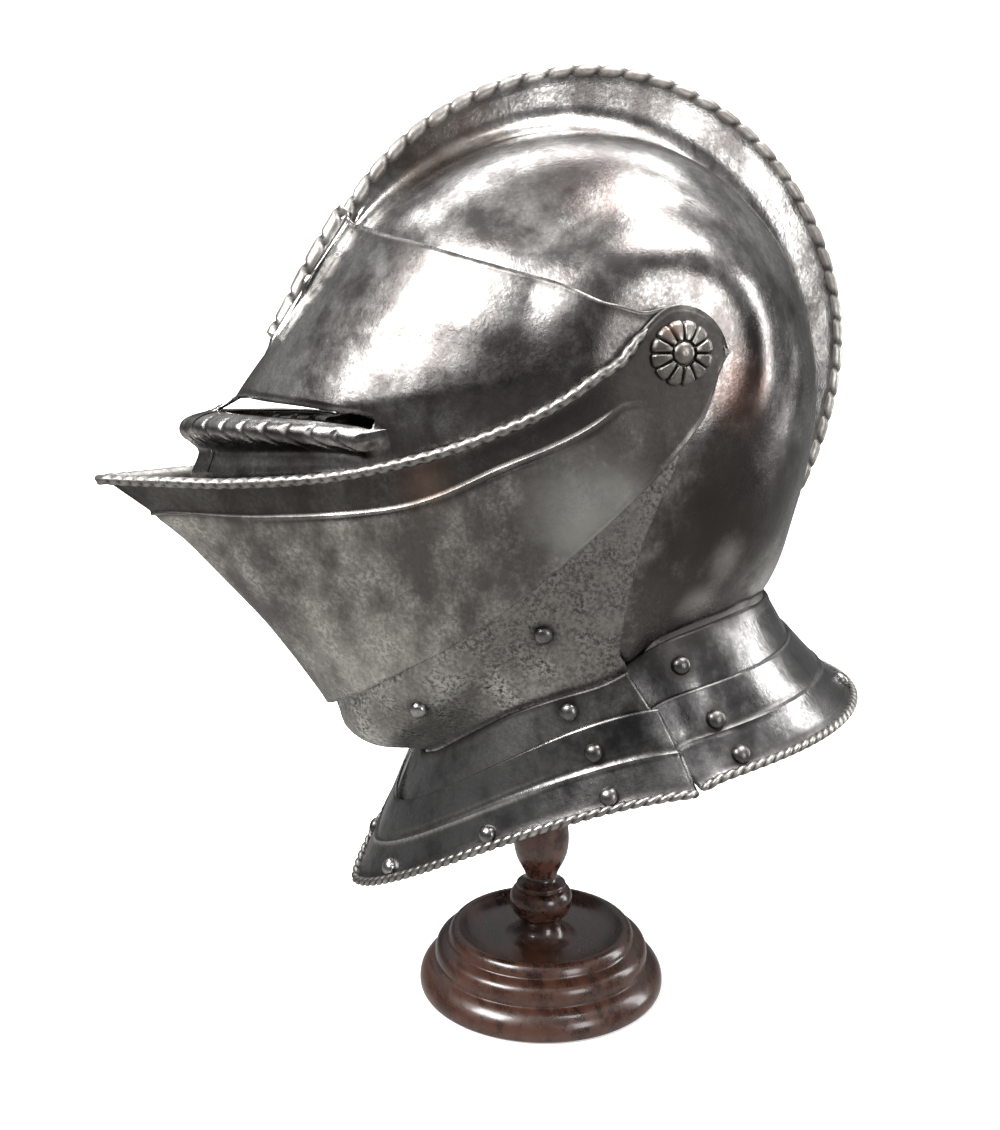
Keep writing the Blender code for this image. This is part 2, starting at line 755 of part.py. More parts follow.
def turned(name, profile, sides, look, axis_place=None, side=1, notch=None):
    """A turned piece from rows of radius and distance: about the stand's axis, or outwards about a pivot."""
    bm = bmesh.new()
    rings = []
    for row in profile:
        radius, height = row[:2]
        ring = []
        for k in range(sides):
            a = 2 * math.pi * k / sides
            r = radius * (notch if notch and len(row) > 2 and k % 2 else 1.0)
            if axis_place is None:
                place = (r * math.cos(a), r * math.sin(a), height)
            else:
                place = (side * height, axis_place[0] + r * math.cos(a), axis_place[1] + r * math.sin(a))
            ring.append(bm.verts.new(place))
        rings.append(ring)
    for low, high in zip(rings, rings[1:]):
        for k in range(sides):
            n = (k + 1) % sides
            bm.faces.new((low[k], low[n], high[n], high[k]))
    bm.faces.new(rings[0][::-1])
    bm.faces.new(rings[-1])
    bmesh.ops.recalc_face_normals(bm, faces=bm.faces)
    return add_object(name, bm, look)


def surface_tree(plate):
    """The plate's outer side, to measure from."""
    mesh = plate.data
    return BVHTree.FromPolygons([v.co for v in mesh.vertices], [p.vertices for p in mesh.polygons])


def knob_drop(radius):
    """How far the knob's domed top falls away at a distance from the stand's axis."""
    return KNOB_ROUNDING - math.sqrt(KNOB_ROUNDING ** 2 - radius ** 2)


def knob_top(skull):
    """Height of the knob's top at which its dome just clears the inside of the skull all over."""
    tree = surface_tree(skull)
    heights = []
    for ring in range(6):
        radius = KNOB_RADIUS * ring / 5
        for k in range(24):
            a = 2 * math.pi * k / 24
            start = Vector((radius * math.cos(a), radius * math.sin(a), PIVOT_HEIGHT))
            place, normal, _, _ = tree.ray_cast(start, Vector((0, 0, 1)))
            heights.append(place.z - WALL / abs(normal.z) + knob_drop(radius))
    return min(heights) - GAP


def make_stand(skull):
    profile = [(BASE_RADIUS * r, BASE_HEIGHT * h) for r, h in BASE_TURNING]
    profile += [(POST_RADIUS * r, BASE_HEIGHT + POST_TURNING * h) for r, h in POST_TURNING_ROWS]
    crown = knob_top(skull)
    stem = profile[-1][0]
    knob_low = crown - KNOB_RADIUS
    profile.append((stem, knob_low - KNOB_RADIUS * 0.4))
    profile.append((KNOB_RADIUS * 0.75, knob_low))
    for k in range(5):
        radius = KNOB_RADIUS * math.cos(math.radians(18 * k))
        profile.append((radius, crown - knob_drop(radius)))
    return turned("stand", profile, POST_SIDES, WOOD)


def make_pivot(side):
    """A pin through all four plates, with a washer inside and a petalled rosette outside."""
    inner = SKULL_WIDTH - WALL - GAP
    outer = VENTAIL_WIDTH + GAP
    profile = (
        (CLINCH_RADIUS, inner - CLINCH_THICKNESS),
        (CLINCH_RADIUS, inner),
        (PIN_RADIUS, inner),
        (PIN_RADIUS, outer),
        (ROSETTE_RADIUS, outer, True),
        (ROSETTE_RADIUS, outer + ROSETTE_HEIGHT * 0.35, True),
        (ROSETTE_RADIUS * 0.75, outer + ROSETTE_HEIGHT * 0.85, True),
        (BUTTON_RADIUS, outer + ROSETTE_HEIGHT * 0.80),
        (BUTTON_RADIUS * 0.7, outer + ROSETTE_HEIGHT * 1.25),
    )
    name = "pivot_left" if side > 0 else "pivot_right"
    place = (PIVOT_BACK, PIVOT_HEIGHT)
    return turned(name, profile, ROSETTE_PETALS * 2, STEEL, place, side, notch=0.90)


def make_bore(side):
    """The cutter that opens the plates for a pin."""
    profile = ((PIN_RADIUS + GAP, SKULL_WIDTH - BOSS_RADIUS), (PIN_RADIUS + GAP, VENTAIL_WIDTH + BOSS_RADIUS))
    name = "bore_left" if side > 0 else "bore_right"
    bore = turned(name, profile, ROSETTE_PETALS, STEEL, (PIVOT_BACK, PIVOT_HEIGHT), side)
    bore.hide_render = True
    bore.display_type = "WIRE"
    return bore


def make_rivet(name, plate, near):
    """A domed head that sits square on a plate's outer side at the point nearest a place."""
    tree = surface_tree(plate)
    place, normal, _, _ = tree.find_nearest(near)
    turn = Vector((0, 0, 1)).rotation_difference(normal).to_matrix()
    bulge = 0.0
    for k in range(RIVET_SIDES):
        a = 2 * math.pi * k / RIVET_SIDES
        above = place + turn @ Vector((math.cos(a), math.sin(a), 0)) * RIVET_RADIUS + normal * RIVET_RADIUS
        hit = tree.ray_cast(above, -normal, RIVET_RADIUS * 2)
        if hit[0] is not None:
            bulge = max(bulge, RIVET_RADIUS - hit[3])
    seat = place + normal * (bulge + RIVET_SEAT)
    bm = bmesh.new()
    rings = []
    for radius, height in ((1.0, 0.0), (0.86, 0.55), (0.45, 0.95)):
        ring = []
        for k in range(RIVET_SIDES):
            a = 2 * math.pi * k / RIVET_SIDES
            flat = Vector((math.cos(a), math.sin(a), 0)) * RIVET_RADIUS * radius
            flat.z = RIVET_HEIGHT * height
            ring.append(bm.verts.new(seat + turn @ flat))
        rings.append(ring)
    for low, high in zip(rings, rings[1:]):
        for k in range(RIVET_SIDES):
            n = (k + 1) % RIVET_SIDES
            bm.faces.new((low[k], low[n], high[n], high[k]))
    bm.faces.new(rings[0][::-1])
    bm.faces.new(rings[-1])
    return add_object(name, bm, STEEL)


def grid_point(columns, along_share, down_share):
    """A place on a gorget plate, from the seam to the middle and from its top to its bottom."""
    k = along_share * (len(columns) - 1)
    i = min(int(k), len(columns) - 2)
    ends = []
    for column in (columns[i], columns[i + 1]):
        j = down_share * (len(column) - 1)
        n = min(int(j), len(column) - 2)
        ends.append(column[n].lerp(column[n + 1], j - n))
    return ends[0].lerp(ends[1], k - i)


def make_rivets(bevor, gorget):
    tables = (("front_lame", FRONT_LAME_RIVETS), ("front_plate", FRONT_PLATE_RIVETS),
              ("rear_lame", REAR_LAME_RIVETS), ("rear_plate", REAR_PLATE_RIVETS))
    wanted = []
    for number, point in enumerate(table_points(BEVOR_SHAPE, BEVOR_WIDTH, BEVOR_RIVETS)):
        wanted.append(("bevor_rivet_" + str(number + 1), bevor, point))
    for word, table in tables:
        for number, (along_share, down_share) in enumerate(table):
            point = grid_point(gorget[word], along_share, down_share)
            wanted.append((word + "_rivet_" + str(number + 1), bpy.data.objects[word], point))
    for name, plate, point in wanted:
        for side, letter in ((1, "l"), (-1, "r")):
            make_rivet(name + letter, plate, Vector((side * point.x, point.y, point.z)))


def main():
    for old in list(bpy.data.objects):
        bpy.data.objects.remove(old, do_unlink=True)
    skull = make_skull()
    bevor = make_bevor()
    ventail = make_ventail()
    visor = make_visor()
    gorget = make_gorget()
    make_stand(skull)
    make_rivets(bevor, gorget)
    for side in (1, -1):
        bore = make_bore(side)
        for plate in (skull, bevor, visor, ventail):
            cut(plate, bore)
        make_pivot(side)


main()
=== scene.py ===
"""The looks of the tilting helm and its turned stand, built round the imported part.

The helm faces -Y, its left side is +X, and the origin is the middle of the stand's foot.
Every plate is a shell round the line through the two pivots: an angle about that line is
0 straight ahead, 90 straight up and 180 straight back.
Tables give lengths as shares: of REACH in the side view, and of HALF_WIDTH across the helm.
"""
import json
import math

import bmesh
import bpy
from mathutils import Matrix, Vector, noise
from mathutils.bvhtree import BVHTree

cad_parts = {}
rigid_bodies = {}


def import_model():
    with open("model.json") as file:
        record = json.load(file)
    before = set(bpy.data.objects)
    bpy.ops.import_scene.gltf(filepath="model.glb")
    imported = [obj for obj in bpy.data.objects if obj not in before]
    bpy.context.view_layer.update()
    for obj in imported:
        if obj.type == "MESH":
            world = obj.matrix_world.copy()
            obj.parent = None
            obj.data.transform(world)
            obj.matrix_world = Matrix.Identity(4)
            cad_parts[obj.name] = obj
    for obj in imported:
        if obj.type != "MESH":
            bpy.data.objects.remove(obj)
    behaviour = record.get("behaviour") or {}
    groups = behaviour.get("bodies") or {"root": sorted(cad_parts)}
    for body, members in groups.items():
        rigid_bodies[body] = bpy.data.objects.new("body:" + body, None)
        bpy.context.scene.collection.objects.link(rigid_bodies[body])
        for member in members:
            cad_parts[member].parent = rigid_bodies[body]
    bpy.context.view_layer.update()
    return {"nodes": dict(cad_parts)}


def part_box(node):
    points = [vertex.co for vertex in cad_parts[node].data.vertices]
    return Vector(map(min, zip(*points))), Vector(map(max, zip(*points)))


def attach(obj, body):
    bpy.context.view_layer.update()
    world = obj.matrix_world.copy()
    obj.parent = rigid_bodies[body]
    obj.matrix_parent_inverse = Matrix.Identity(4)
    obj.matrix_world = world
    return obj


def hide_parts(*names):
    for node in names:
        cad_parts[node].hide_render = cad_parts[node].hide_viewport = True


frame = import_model()

# Sheet and clearances
WALL = 0.0016
LAME_WALL = 0.0014
GAP = 0.0003
# room between two plates that slide over each other
SLIDE_GAP = 0.0007

# Where the helm is carried
PIVOT_BACK = 0.0188
PIVOT_HEIGHT = 0.2756

# The helm's own sizes
REACH = 0.100
HALF_WIDTH = 0.097
BOSS_RADIUS = 0.0225
BOSS_BLEND = 0.030
ARM_RADIUS = 0.0155
COMB_HALF_WIDTH = 0.0029
COMB_ROPE_RADIUS = 0.0037
COMB_FOOT = 0.0105
COLLAR = 0.004
COLLAR_TUCK = 0.0025
LAME_DROP = 0.0012
SEAM = 0.0008

# Pivots and rivets
PIN_RADIUS = 0.0025
ROSETTE_RADIUS = 0.0107
ROSETTE_HEIGHT = 0.0034
ROSETTE_PETALS = 12
CLINCH_RADIUS = 0.0050
CLINCH_THICKNESS = 0.0012
RIVET_RADIUS = 0.0044
RIVET_HEIGHT = 0.0030

# The stand
BASE_RADIUS = 0.0539
BASE_HEIGHT = 0.0270
POST_RADIUS = 0.0123
POST_TURNING = 0.0455
KNOB_RADIUS = 0.030
KNOB_ROUNDING = 0.060

# The layers at the pivots, from the head outwards
LAYER = WALL + SLIDE_GAP
SKULL_WIDTH = HALF_WIDTH
BEVOR_WIDTH = SKULL_WIDTH + LAYER
VISOR_WIDTH = BEVOR_WIDTH + LAYER
VENTAIL_WIDTH = VISOR_WIDTH + LAYER

# angle, reach, fullness of the arch from the pivot to the middle (1 is a keel, 2 an ellipse)
SKULL_SHAPE = (
    (10, 1.120, 2.0),
    (30, 1.030, 2.0),
    (44, 0.965, 2.0),
    (60, 0.915, 2.0),
    (80, 0.875, 2.0),
    (102, 0.850, 2.0),
    (120, 0.840, 2.0),
    (140, 0.838, 2.0),
    (158, 0.850, 2.0),
    (176, 0.875, 2.0),
    (192, 0.925, 2.0),
    (207, 0.990, 2.0),
    (221, 1.086, 2.0),
    (232.8, 1.212, 2.0),
    (240.3, 1.272, 2.0),
    (245, 1.300, 2.0),
    (255, 1.434, 2.0),
    (267, 1.620, 2.0),
    (273.9, 1.735, 2.0),
    (285, 1.670, 1.72),
)
# angle, reach of the comb's crest
SKULL_COMB = (
    (10, 1.145),
    (30, 1.142),
    (46, 1.132),
    (62, 1.125),
    (76, 1.126),
    (90, 1.134),
    (102, 1.139),
    (127, 1.142),
    (151, 1.140),
    (173, 1.145),
    (194, 1.136),
    (204, 1.138),
    (211, 1.145),
    (219, 1.163),
    (228, 1.172),
)
BROW_ANGLE = 10
COMB_END_ANGLE = 228
# angle, share of the skull's reach where the neck's edge runs, from the nape to the jaw
SKULL_NECK = (
    (232.8, 1.000),
    (233.8, 0.980),
    (236.4, 0.928),
    (240.3, 0.875),
    (245, 0.823),
    (255, 0.713),
    (267, 0.641),
    (273.9, 0.644),
    (285, 0.640),
)

# angle, reach, fullness
BEVOR_SHAPE = (
    (-112, 1.700, 2.0),
    (-100, 1.750, 2.0),
    (-92, 1.800, 2.0),
    (-84, 1.845, 1.95),
    (-77, 1.835, 1.75),
    (-67.3, 1.785, 1.48),
    (-60.8, 1.849, 1.40),
    (-58.3, 1.855, 1.36),
    (-55.7, 1.835, 1.32),
    (-53.6, 1.785, 1.28),
    (-51.5, 1.740, 1.20),
    (-47.8, 1.680, 1.12),
    (-38, 1.660, 1.06),
    (-28, 1.660, 1.05),
)
# angle, share of the bevor's reach along its hidden upper edge, from the arm to the middle
BEVOR_TOP = ((-45, 0.26), (-45, 0.40), (-40, 0.70), (-36, 1.0))
# down the bevor's rear edge
BEVOR_REAR = ((-98, 0.130), (-93.7, 0.198), (-87.4, 0.262), (-83.2, 0.356), (-82.8, 0.424), (-83.2, 0.505),
              (-83.9, 0.580), (-86.1, 0.616))
# along the neck to the middle
BEVOR_NECK = ((-81.8, 0.648), (-76.2, 0.698), (-71.8, 0.770), (-69.3, 0.845), (-67.9, 0.910), (-67.4, 0.960),
              (-67.3, 1.0))

VENTAIL_SHAPE = (
    (-105, 1.850, 2.0),
    (-85, 1.930, 1.95),
    (-70, 1.930, 1.70),
    (-60, 1.900, 1.45),
    (-52, 1.793, 1.32),
    (-44, 1.730, 1.26),
    (-36, 1.717, 1.18),
    (-25, 1.780, 1.07),
    (-19.2, 1.868, 1.01),
    (-13.4, 2.005, 0.96),
)
VENTAIL_TOP = ((18.5, 0.080), (-6.1, 0.106), (-13.7, 0.147), (-20, 0.214), (-22.6, 0.275), (-23.2, 0.35),
               (-23, 0.441), (-22.1, 0.528), (-21, 0.612), (-19.5, 0.693), (-17, 0.815), (-15.3, 0.889),
               (-14.2, 0.950), (-13.4, 1.0))
VENTAIL_LOW = ((-126.4, 0.104), (-107.3, 0.134), (-85.6, 0.190), (-73.3, 0.271), (-66.5, 0.355), (-60, 0.513),
               (-56, 0.685), (-53.7, 0.810), (-52.6, 0.912), (-52, 1.0))

VISOR_SHAPE = (
    (-10, 1.520, 1.42),
    (-6.4, 1.438, 1.50),
    (1.5, 1.290, 1.65),
    (10, 1.185, 1.80),
    (15, 1.140, 1.85),
    (25, 1.088, 1.90),
    (40, 1.060, 1.95),
)
# angle, reach of the crest of the visor's comb
VISOR_COMB = ((0, 1.310), (1.5, 1.325), (8, 1.265), (15, 1.222), (22, 1.192), (26, 1.180), (30, 1.175))
VISOR_TOP = ((48, 0.170), (36.8, 0.240), (32, 0.300), (30.5, 0.420), (28.6, 0.500), (27, 0.585),
             (25.7, 0.727), (25.5, 0.814), (25.5, 0.910))
VISOR_TOP_MIDDLE = 26.5
VISOR_COMB_TOP = 29.5
# the sight's upper edge, from the arm towards the middle
VISOR_SIGHT = ((-60, 0.130), (-30, 0.300), (-18.5, 0.500), (-14.6, 0.620), (-11.7, 0.685), (-10.0, 0.746),
               (-8.6, 0.820), (-7.1, 0.930))
SIGHT_MIDDLE = -6.4
# degrees below the sight's upper edge, reach and fullness where the lip stands out, then where it doesn't
VISOR_STEP = (
    (0.0, 1.438, 1.50, 1.438, 1.50),
    (1.7, 1.549, 1.38, 1.452, 1.48),
    (2.2, 1.669, 1.30, 1.460, 1.47),
    (4.4, 1.672, 1.28, 1.495, 1.43),
    (5.9, 1.640, 1.25, 1.530, 1.38),
    (7.0, 1.625, 1.22, 1.560, 1.34),
    (9.5, 1.680, 1.18, 1.630, 1.22),
    (12.0, 1.680, 1.16, 1.680, 1.16),
)
SIGHT_END = 0.655
LIP_END = 0.64

# The neck defence: forward and up in shares of REACH from the pivot, half width in shares of HALF_WIDTH
# name: front forward, front up, half width, seam forward, seam up, rear forward, rear up, fullness in front
GORGET_RINGS = {
    "lame_low": (0.835, -1.915, 0.856, -0.052, -1.346, -0.880, -1.186, 1.60),
    "plate_top": (0.830, -1.845, 0.862, -0.032, -1.276, -0.855, -1.126, 1.60),
    "step": (0.915, -2.024, 0.918, -0.098, -1.430, -0.998, -1.276, 1.55),
    "bottom": (0.999, -2.196, 0.990, -0.142, -1.566, -1.142, -1.396, 1.50),
}
GORGET_DIP = 1.70
GORGET_RISE = 0.50


def along(rows, place, column):
    """Read one column of a table on a smooth curve through its rows, at a place in the first column."""
    places = [row[0] for row in rows]
    values = [row[column] for row in rows]
    if place <= places[0]:
        return values[0]
    if place >= places[-1]:
        return values[-1]
    i = max(k for k in range(len(places) - 1) if places[k] <= place)

    def slope(k):
        low = max(k - 1, 0)
        high = min(k + 1, len(places) - 1)
        return (values[high] - values[low]) / (places[high] - places[low])

    step = places[i + 1] - places[i]
    t = (place - places[i]) / step
    rise = values[i + 1] - values[i]
    bend_a = slope(i) * step - rise
    bend_b = rise - slope(i + 1) * step
    return values[i] + t * rise + t * (1 - t) * (bend_a * (1 - t) + bend_b * t)


def ease(low, high, value):
    """Go smoothly from 0 at low to 1 at high."""
    t = min(max((value - low) / (high - low), 0.0), 1.0)
    return t * t * (3 - 2 * t)


def mix(a, b, t):
    return a + (b - a) * t


def side_point(angle, radius, x=0.0):
    """A point at an angle and a distance about the pivots' axis."""
    a = math.radians(angle)
    return Vector((x, PIVOT_BACK - radius * math.cos(a), PIVOT_HEIGHT + radius * math.sin(a)))


def arch_x(width, reach, fullness, radius):
    """How far out the arch stands at a distance from the axis: flat round the pivot, 0 at its reach."""
    share = min(radius / reach, 1.0)
    drop = width * (1 - (1 - share * share) ** (1 / fullness))
    return width - drop * ease(BOSS_RADIUS, BOSS_RADIUS + BOSS_BLEND, radius)


def arch_radius(width, reach, fullness, x):
    """The distance from the axis at which an arch stands x away from the middle, near the middle."""
    return reach * math.sqrt(max(1 - (x / width) ** fullness, 0.0))


def shape_at(shape, angle):
    return REACH * along(shape, angle, 1), along(shape, angle, 2)


def path(points, count):
    """Spread a count of points evenly along a smooth curve through a few points."""
    dense = []
    last = len(points) - 1
    for i in range(last):
        before = points[max(i - 1, 0)]
        after = points[min(i + 2, last)]
        for k in range(8):
            t = k / 8
            tangent_a = (points[i + 1] - before) / 2
            tangent_b = (after - points[i]) / 2
            h = t * t * (3 - 2 * t)
            dense.append(points[i].lerp(points[i + 1], h)
                         + tangent_a * (t * (1 - t) ** 2) - tangent_b * (t * t * (1 - t)))
    dense.append(points[last])
    lengths = [0.0]
    for a, b in zip(dense, dense[1:]):
        lengths.append(lengths[-1] + (b - a).length)
    result = []
    for k in range(count):
        goal = lengths[-1] * k / (count - 1)
        i = max(n for n in range(len(lengths) - 1) if lengths[n] <= goal + 1e-12)
        span = max(lengths[i + 1] - lengths[i], 1e-12)
        result.append(dense[i].lerp(dense[i + 1], min((goal - lengths[i]) / span, 1.0)))
    return result


def table_points(shape, width, rows):
    """Points of a shell at a table's angles and shares of its reach."""
    points = []
    for angle, share in rows:
        reach, fullness = shape_at(shape, angle)
        points.append(side_point(angle, reach * share, arch_x(width, reach, fullness, reach * share)))
    return points


def edge_points(shape, width, rows, turn_to):
    """An arm's edge: round its end from straight behind the pivot, then through a table's rows."""
    start = 180 if turn_to > 0 else -180
    round_end = [side_point(mix(start, turn_to, k / 3), ARM_RADIUS, width) for k in range(4)]
    return round_end + table_points(shape, width, rows)


def polar(point):
    """The angle about the axis, between -180 and 180, and the distance from it."""
    forward = PIVOT_BACK - point.y
    up = point.z - PIVOT_HEIGHT
    return math.degrees(math.atan2(up, forward)), math.hypot(forward, up)


def between(shape, top, low, share, roundness):
    """A side-view place between two edge points: straight across near the arm's end, by angle further on."""
    straight = top.lerp(low, share)
    angle_a, radius_a = polar(top)
    angle_b, radius_b = polar(low)
    if roundness <= 0:
        return polar(straight)
    theta_a = math.asin(min(radius_a / shape_at(shape, angle_a)[0], 1.0))
    theta_b = math.asin(min(radius_b / shape_at(shape, angle_b)[0], 1.0))
    angle = mix(angle_a, angle_b, share)
    radius = shape_at(shape, angle)[0] * math.sin(mix(theta_a, theta_b, share))
    return polar(straight.lerp(side_point(angle, radius), roundness))


def helm_middle():
    return Vector((0, PIVOT_BACK, PIVOT_HEIGHT - REACH))


def collar_point(point):
    """The low end of the collar below a point of the neck's edge, tucked in so that the lame clears it."""
    inwards = Vector((-point.x, PIVOT_BACK - point.y, 0)).normalized()
    return point + inwards * COLLAR_TUCK + Vector((0, 0, -COLLAR))


def ring_point(name, turn):
    """A point of a gorget ring: turn 0 is the front, 90 the seam at the side and 180 the rear."""
    front_fwd, front_up, wide, seam_fwd, seam_up, rear_fwd, rear_up, fullness = GORGET_RINGS[name]
    in_front = turn <= 90
    a = math.radians(turn)
    bow = fullness if in_front else 2.0
    run = abs(math.cos(a)) ** (2 / bow)
    forward = mix(seam_fwd, front_fwd if in_front else rear_fwd, run)
    up = mix(seam_up, front_up, run ** GORGET_DIP) if in_front else mix(seam_up, rear_up, run ** GORGET_RISE)
    x = HALF_WIDTH * wide * math.sin(a) ** (2 / bow)
    return Vector((x, PIVOT_BACK - REACH * forward, PIVOT_HEIGHT + REACH * up))


def outward_of(points):
    """Level directions out of a curve of points round the neck, one for each point."""
    middle = Vector((0, PIVOT_BACK, 0))
    result = []
    for k in range(len(points)):
        step = points[min(k + 1, len(points) - 1)] - points[max(k - 1, 0)]
        out = Vector((step.y, -step.x, 0))
        if k == len(points) - 1:
            out.x = 0
        if out.dot(points[k] - middle) < 0:
            out = -out
        result.append(out.normalized())
    return result


def ring_curve(name, front, count):
    start = 90 if front else 90 + math.degrees(SEAM / REACH)
    end = 0 if front else 180
    fine = [ring_point(name, mix(start, end, k / 24)) for k in range(25)]
    points = path(fine, count)
    points[-1].x = 0.0
    return points


def foot_share(width, fullness, widen):
    """Share of the reach at which the comb's foot meets the arch."""
    return arch_radius(width, 1.0, fullness, COMB_FOOT + widen)


def comb_section(widen, bead):
    """The comb's section from its foot up: distance out, share of the height, height in metres."""
    rows = []
    for k in range(8):
        t = k / 7
        rows.append((mix(COMB_FOOT, COMB_HALF_WIDTH, 1 - (1 - t) ** 2) + widen, 0.42 * t ** 1.3, 0.0))
    for k in range(1, 6):
        t = k / 5
        rows.append((COMB_HALF_WIDTH * mix(1.0, 0.86, t) + widen, mix(0.42, 1.0, t), -bead * 1.6 * t))
    for k in range(5):
        a = math.radians(22.5 * k)
        rows.append((bead * 0.60 * math.cos(a), 1.0, -bead * 1.1 + bead * 0.55 * math.sin(a)))
    rows[-1] = (0.0, rows[-1][1], rows[-1][2])
    return rows


def comb_line(width, reach, fullness, crest, widen, bead):
    """Distance out and radius of each point of the comb's section, flat where the comb fades."""
    section = comb_section(widen, bead)
    height = max(crest - reach, 0.0)
    stand = ease(0.0, bead * 1.6, height)
    line = []
    for k, (x, share, drop) in enumerate(section):
        even = (COMB_FOOT + widen) * (1 - (k + 1) / len(section))
        out = mix(even, x, stand)
        line.append((out, arch_radius(width, reach, fullness, out) + max(height * share + drop, 0.0) * stand))
    return line


def surface_normals(grid):
    """Directions out of a grid of points on the +X half, with none sideways in the middle."""
    middle = helm_middle()
    result = []
    for i, row in enumerate(grid):
        before = grid[max(i - 1, 0)]
        after = grid[min(i + 1, len(grid) - 1)]
        outs = []
        for j, point in enumerate(row):
            across = after[j] - before[j]
            down = row[min(j + 1, len(row) - 1)] - row[max(j - 1, 0)]
            out = across.cross(down)
            if out.length < 1e-12 or polar(point)[1] < BOSS_RADIUS:
                out = Vector((1, 0, 0))
            if abs(point.x) < 1e-6:
                out.x = 0
            if out.dot(point - middle) < 0:
                out = -out
            outs.append(out.normalized())
        result.append(outs)
    return result


def lift(grid, height):
    """Move every point along its normal by height(i, j, point)."""
    normals = surface_normals(grid)
    return [[p + normals[i][j] * height(i, j, p) for j, p in enumerate(row)] for i, row in enumerate(grid)]


def hammering(point):
    """The slight unevenness of sheet that was beaten by hand."""
    wide = noise.noise(Vector(point) * 26.0)
    close = noise.noise(Vector(point) * 85.0 + Vector((3, 1, 7)))
    return 0.00022 * wide + 0.00005 * close


def beaten(grid):
    return lift(grid, lambda i, j, p: hammering(p) if abs(p.x) > 1e-6 else 0.0)


def lengths_down(column):
    """How far each point of a column lies from its start."""
    result = [0.0]
    for a, b in zip(column, column[1:]):
        result.append(result[-1] + (b - a).length)
    return result


def bump(value, width):
    return math.exp(-(value / width) ** 2)


def everywhere(i, j):
    return True


def round_rivets(name, point):
    """Painted shade in a ring round the rivets of a plate."""
    total = 0.0
    for word, place in RIVET_PLACES:
        if name.startswith(word):
            total += 0.75 * bump((point - place).length - RIVET_RADIUS * 0.8, 0.0024)
    return total


def finish_object(name, bm, body, nodes, look, angle=40):
    """Make a piece from a mesh, put it on its body and let it stand for its CAD nodes."""
    mesh = bpy.data.meshes.new(name)
    bm.to_mesh(mesh)
    bm.free()
    made = bpy.data.objects.new(name, mesh)
    bpy.context.scene.collection.objects.link(made)
    mesh.materials.append(look)
    mesh.shade_smooth()
    mesh.set_sharp_from_angle(angle=math.radians(angle))
    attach(made, body)
    if nodes:
        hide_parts(*nodes)
    return made


def clean(i, j, point):
    return 0.0


def sheet(name, grids, wall, body, nodes, look):
    """Beaten sheet: grids of points on one half's outer side, mirrored, joined and given a thickness."""
    bm = bmesh.new()
    # each vertex keeps how much painted shade and other darkening it takes
    layer = bm.verts.layers.float.new("painted_shade_and_marks")
    for grid, keep, painted_shade_and_marks in grids:
        for side in (1, -1):
            rows = []
            for i, points in enumerate(grid):
                row = []
                for j, p in enumerate(points):
                    vert = bm.verts.new((side * p.x, p.y, p.z))
                    vert[layer] = min(painted_shade_and_marks(i, j, p) + round_rivets(name, p), 1.0)
                    row.append(vert)
                rows.append(row)
            for i in range(len(rows) - 1):
                for j in range(len(rows[i]) - 1):
                    if not keep(i, j):
                        continue
                    corners = (rows[i][j], rows[i + 1][j], rows[i + 1][j + 1], rows[i][j + 1])
                    bm.faces.new(corners if side > 0 else corners[::-1])
    bmesh.ops.remove_doubles(bm, verts=bm.verts, dist=0.00002)
    bmesh.ops.delete(bm, geom=[v for v in bm.verts if not v.link_faces], context="VERTS")
    bmesh.ops.recalc_face_normals(bm, faces=bm.faces)
    middle = helm_middle()
    outward = sum(f.normal.dot(f.calc_center_median() - middle) * f.calc_area() for f in bm.faces)
    if outward < 0:
        bmesh.ops.reverse_faces(bm, faces=bm.faces)
    made = finish_object(name, bm, body, nodes, look)
    thick = made.modifiers.new("thickness", "SOLIDIFY")
    thick.thickness = wall
    thick.offset = -1
    thick.use_even_offset = False
    return made


# The looks

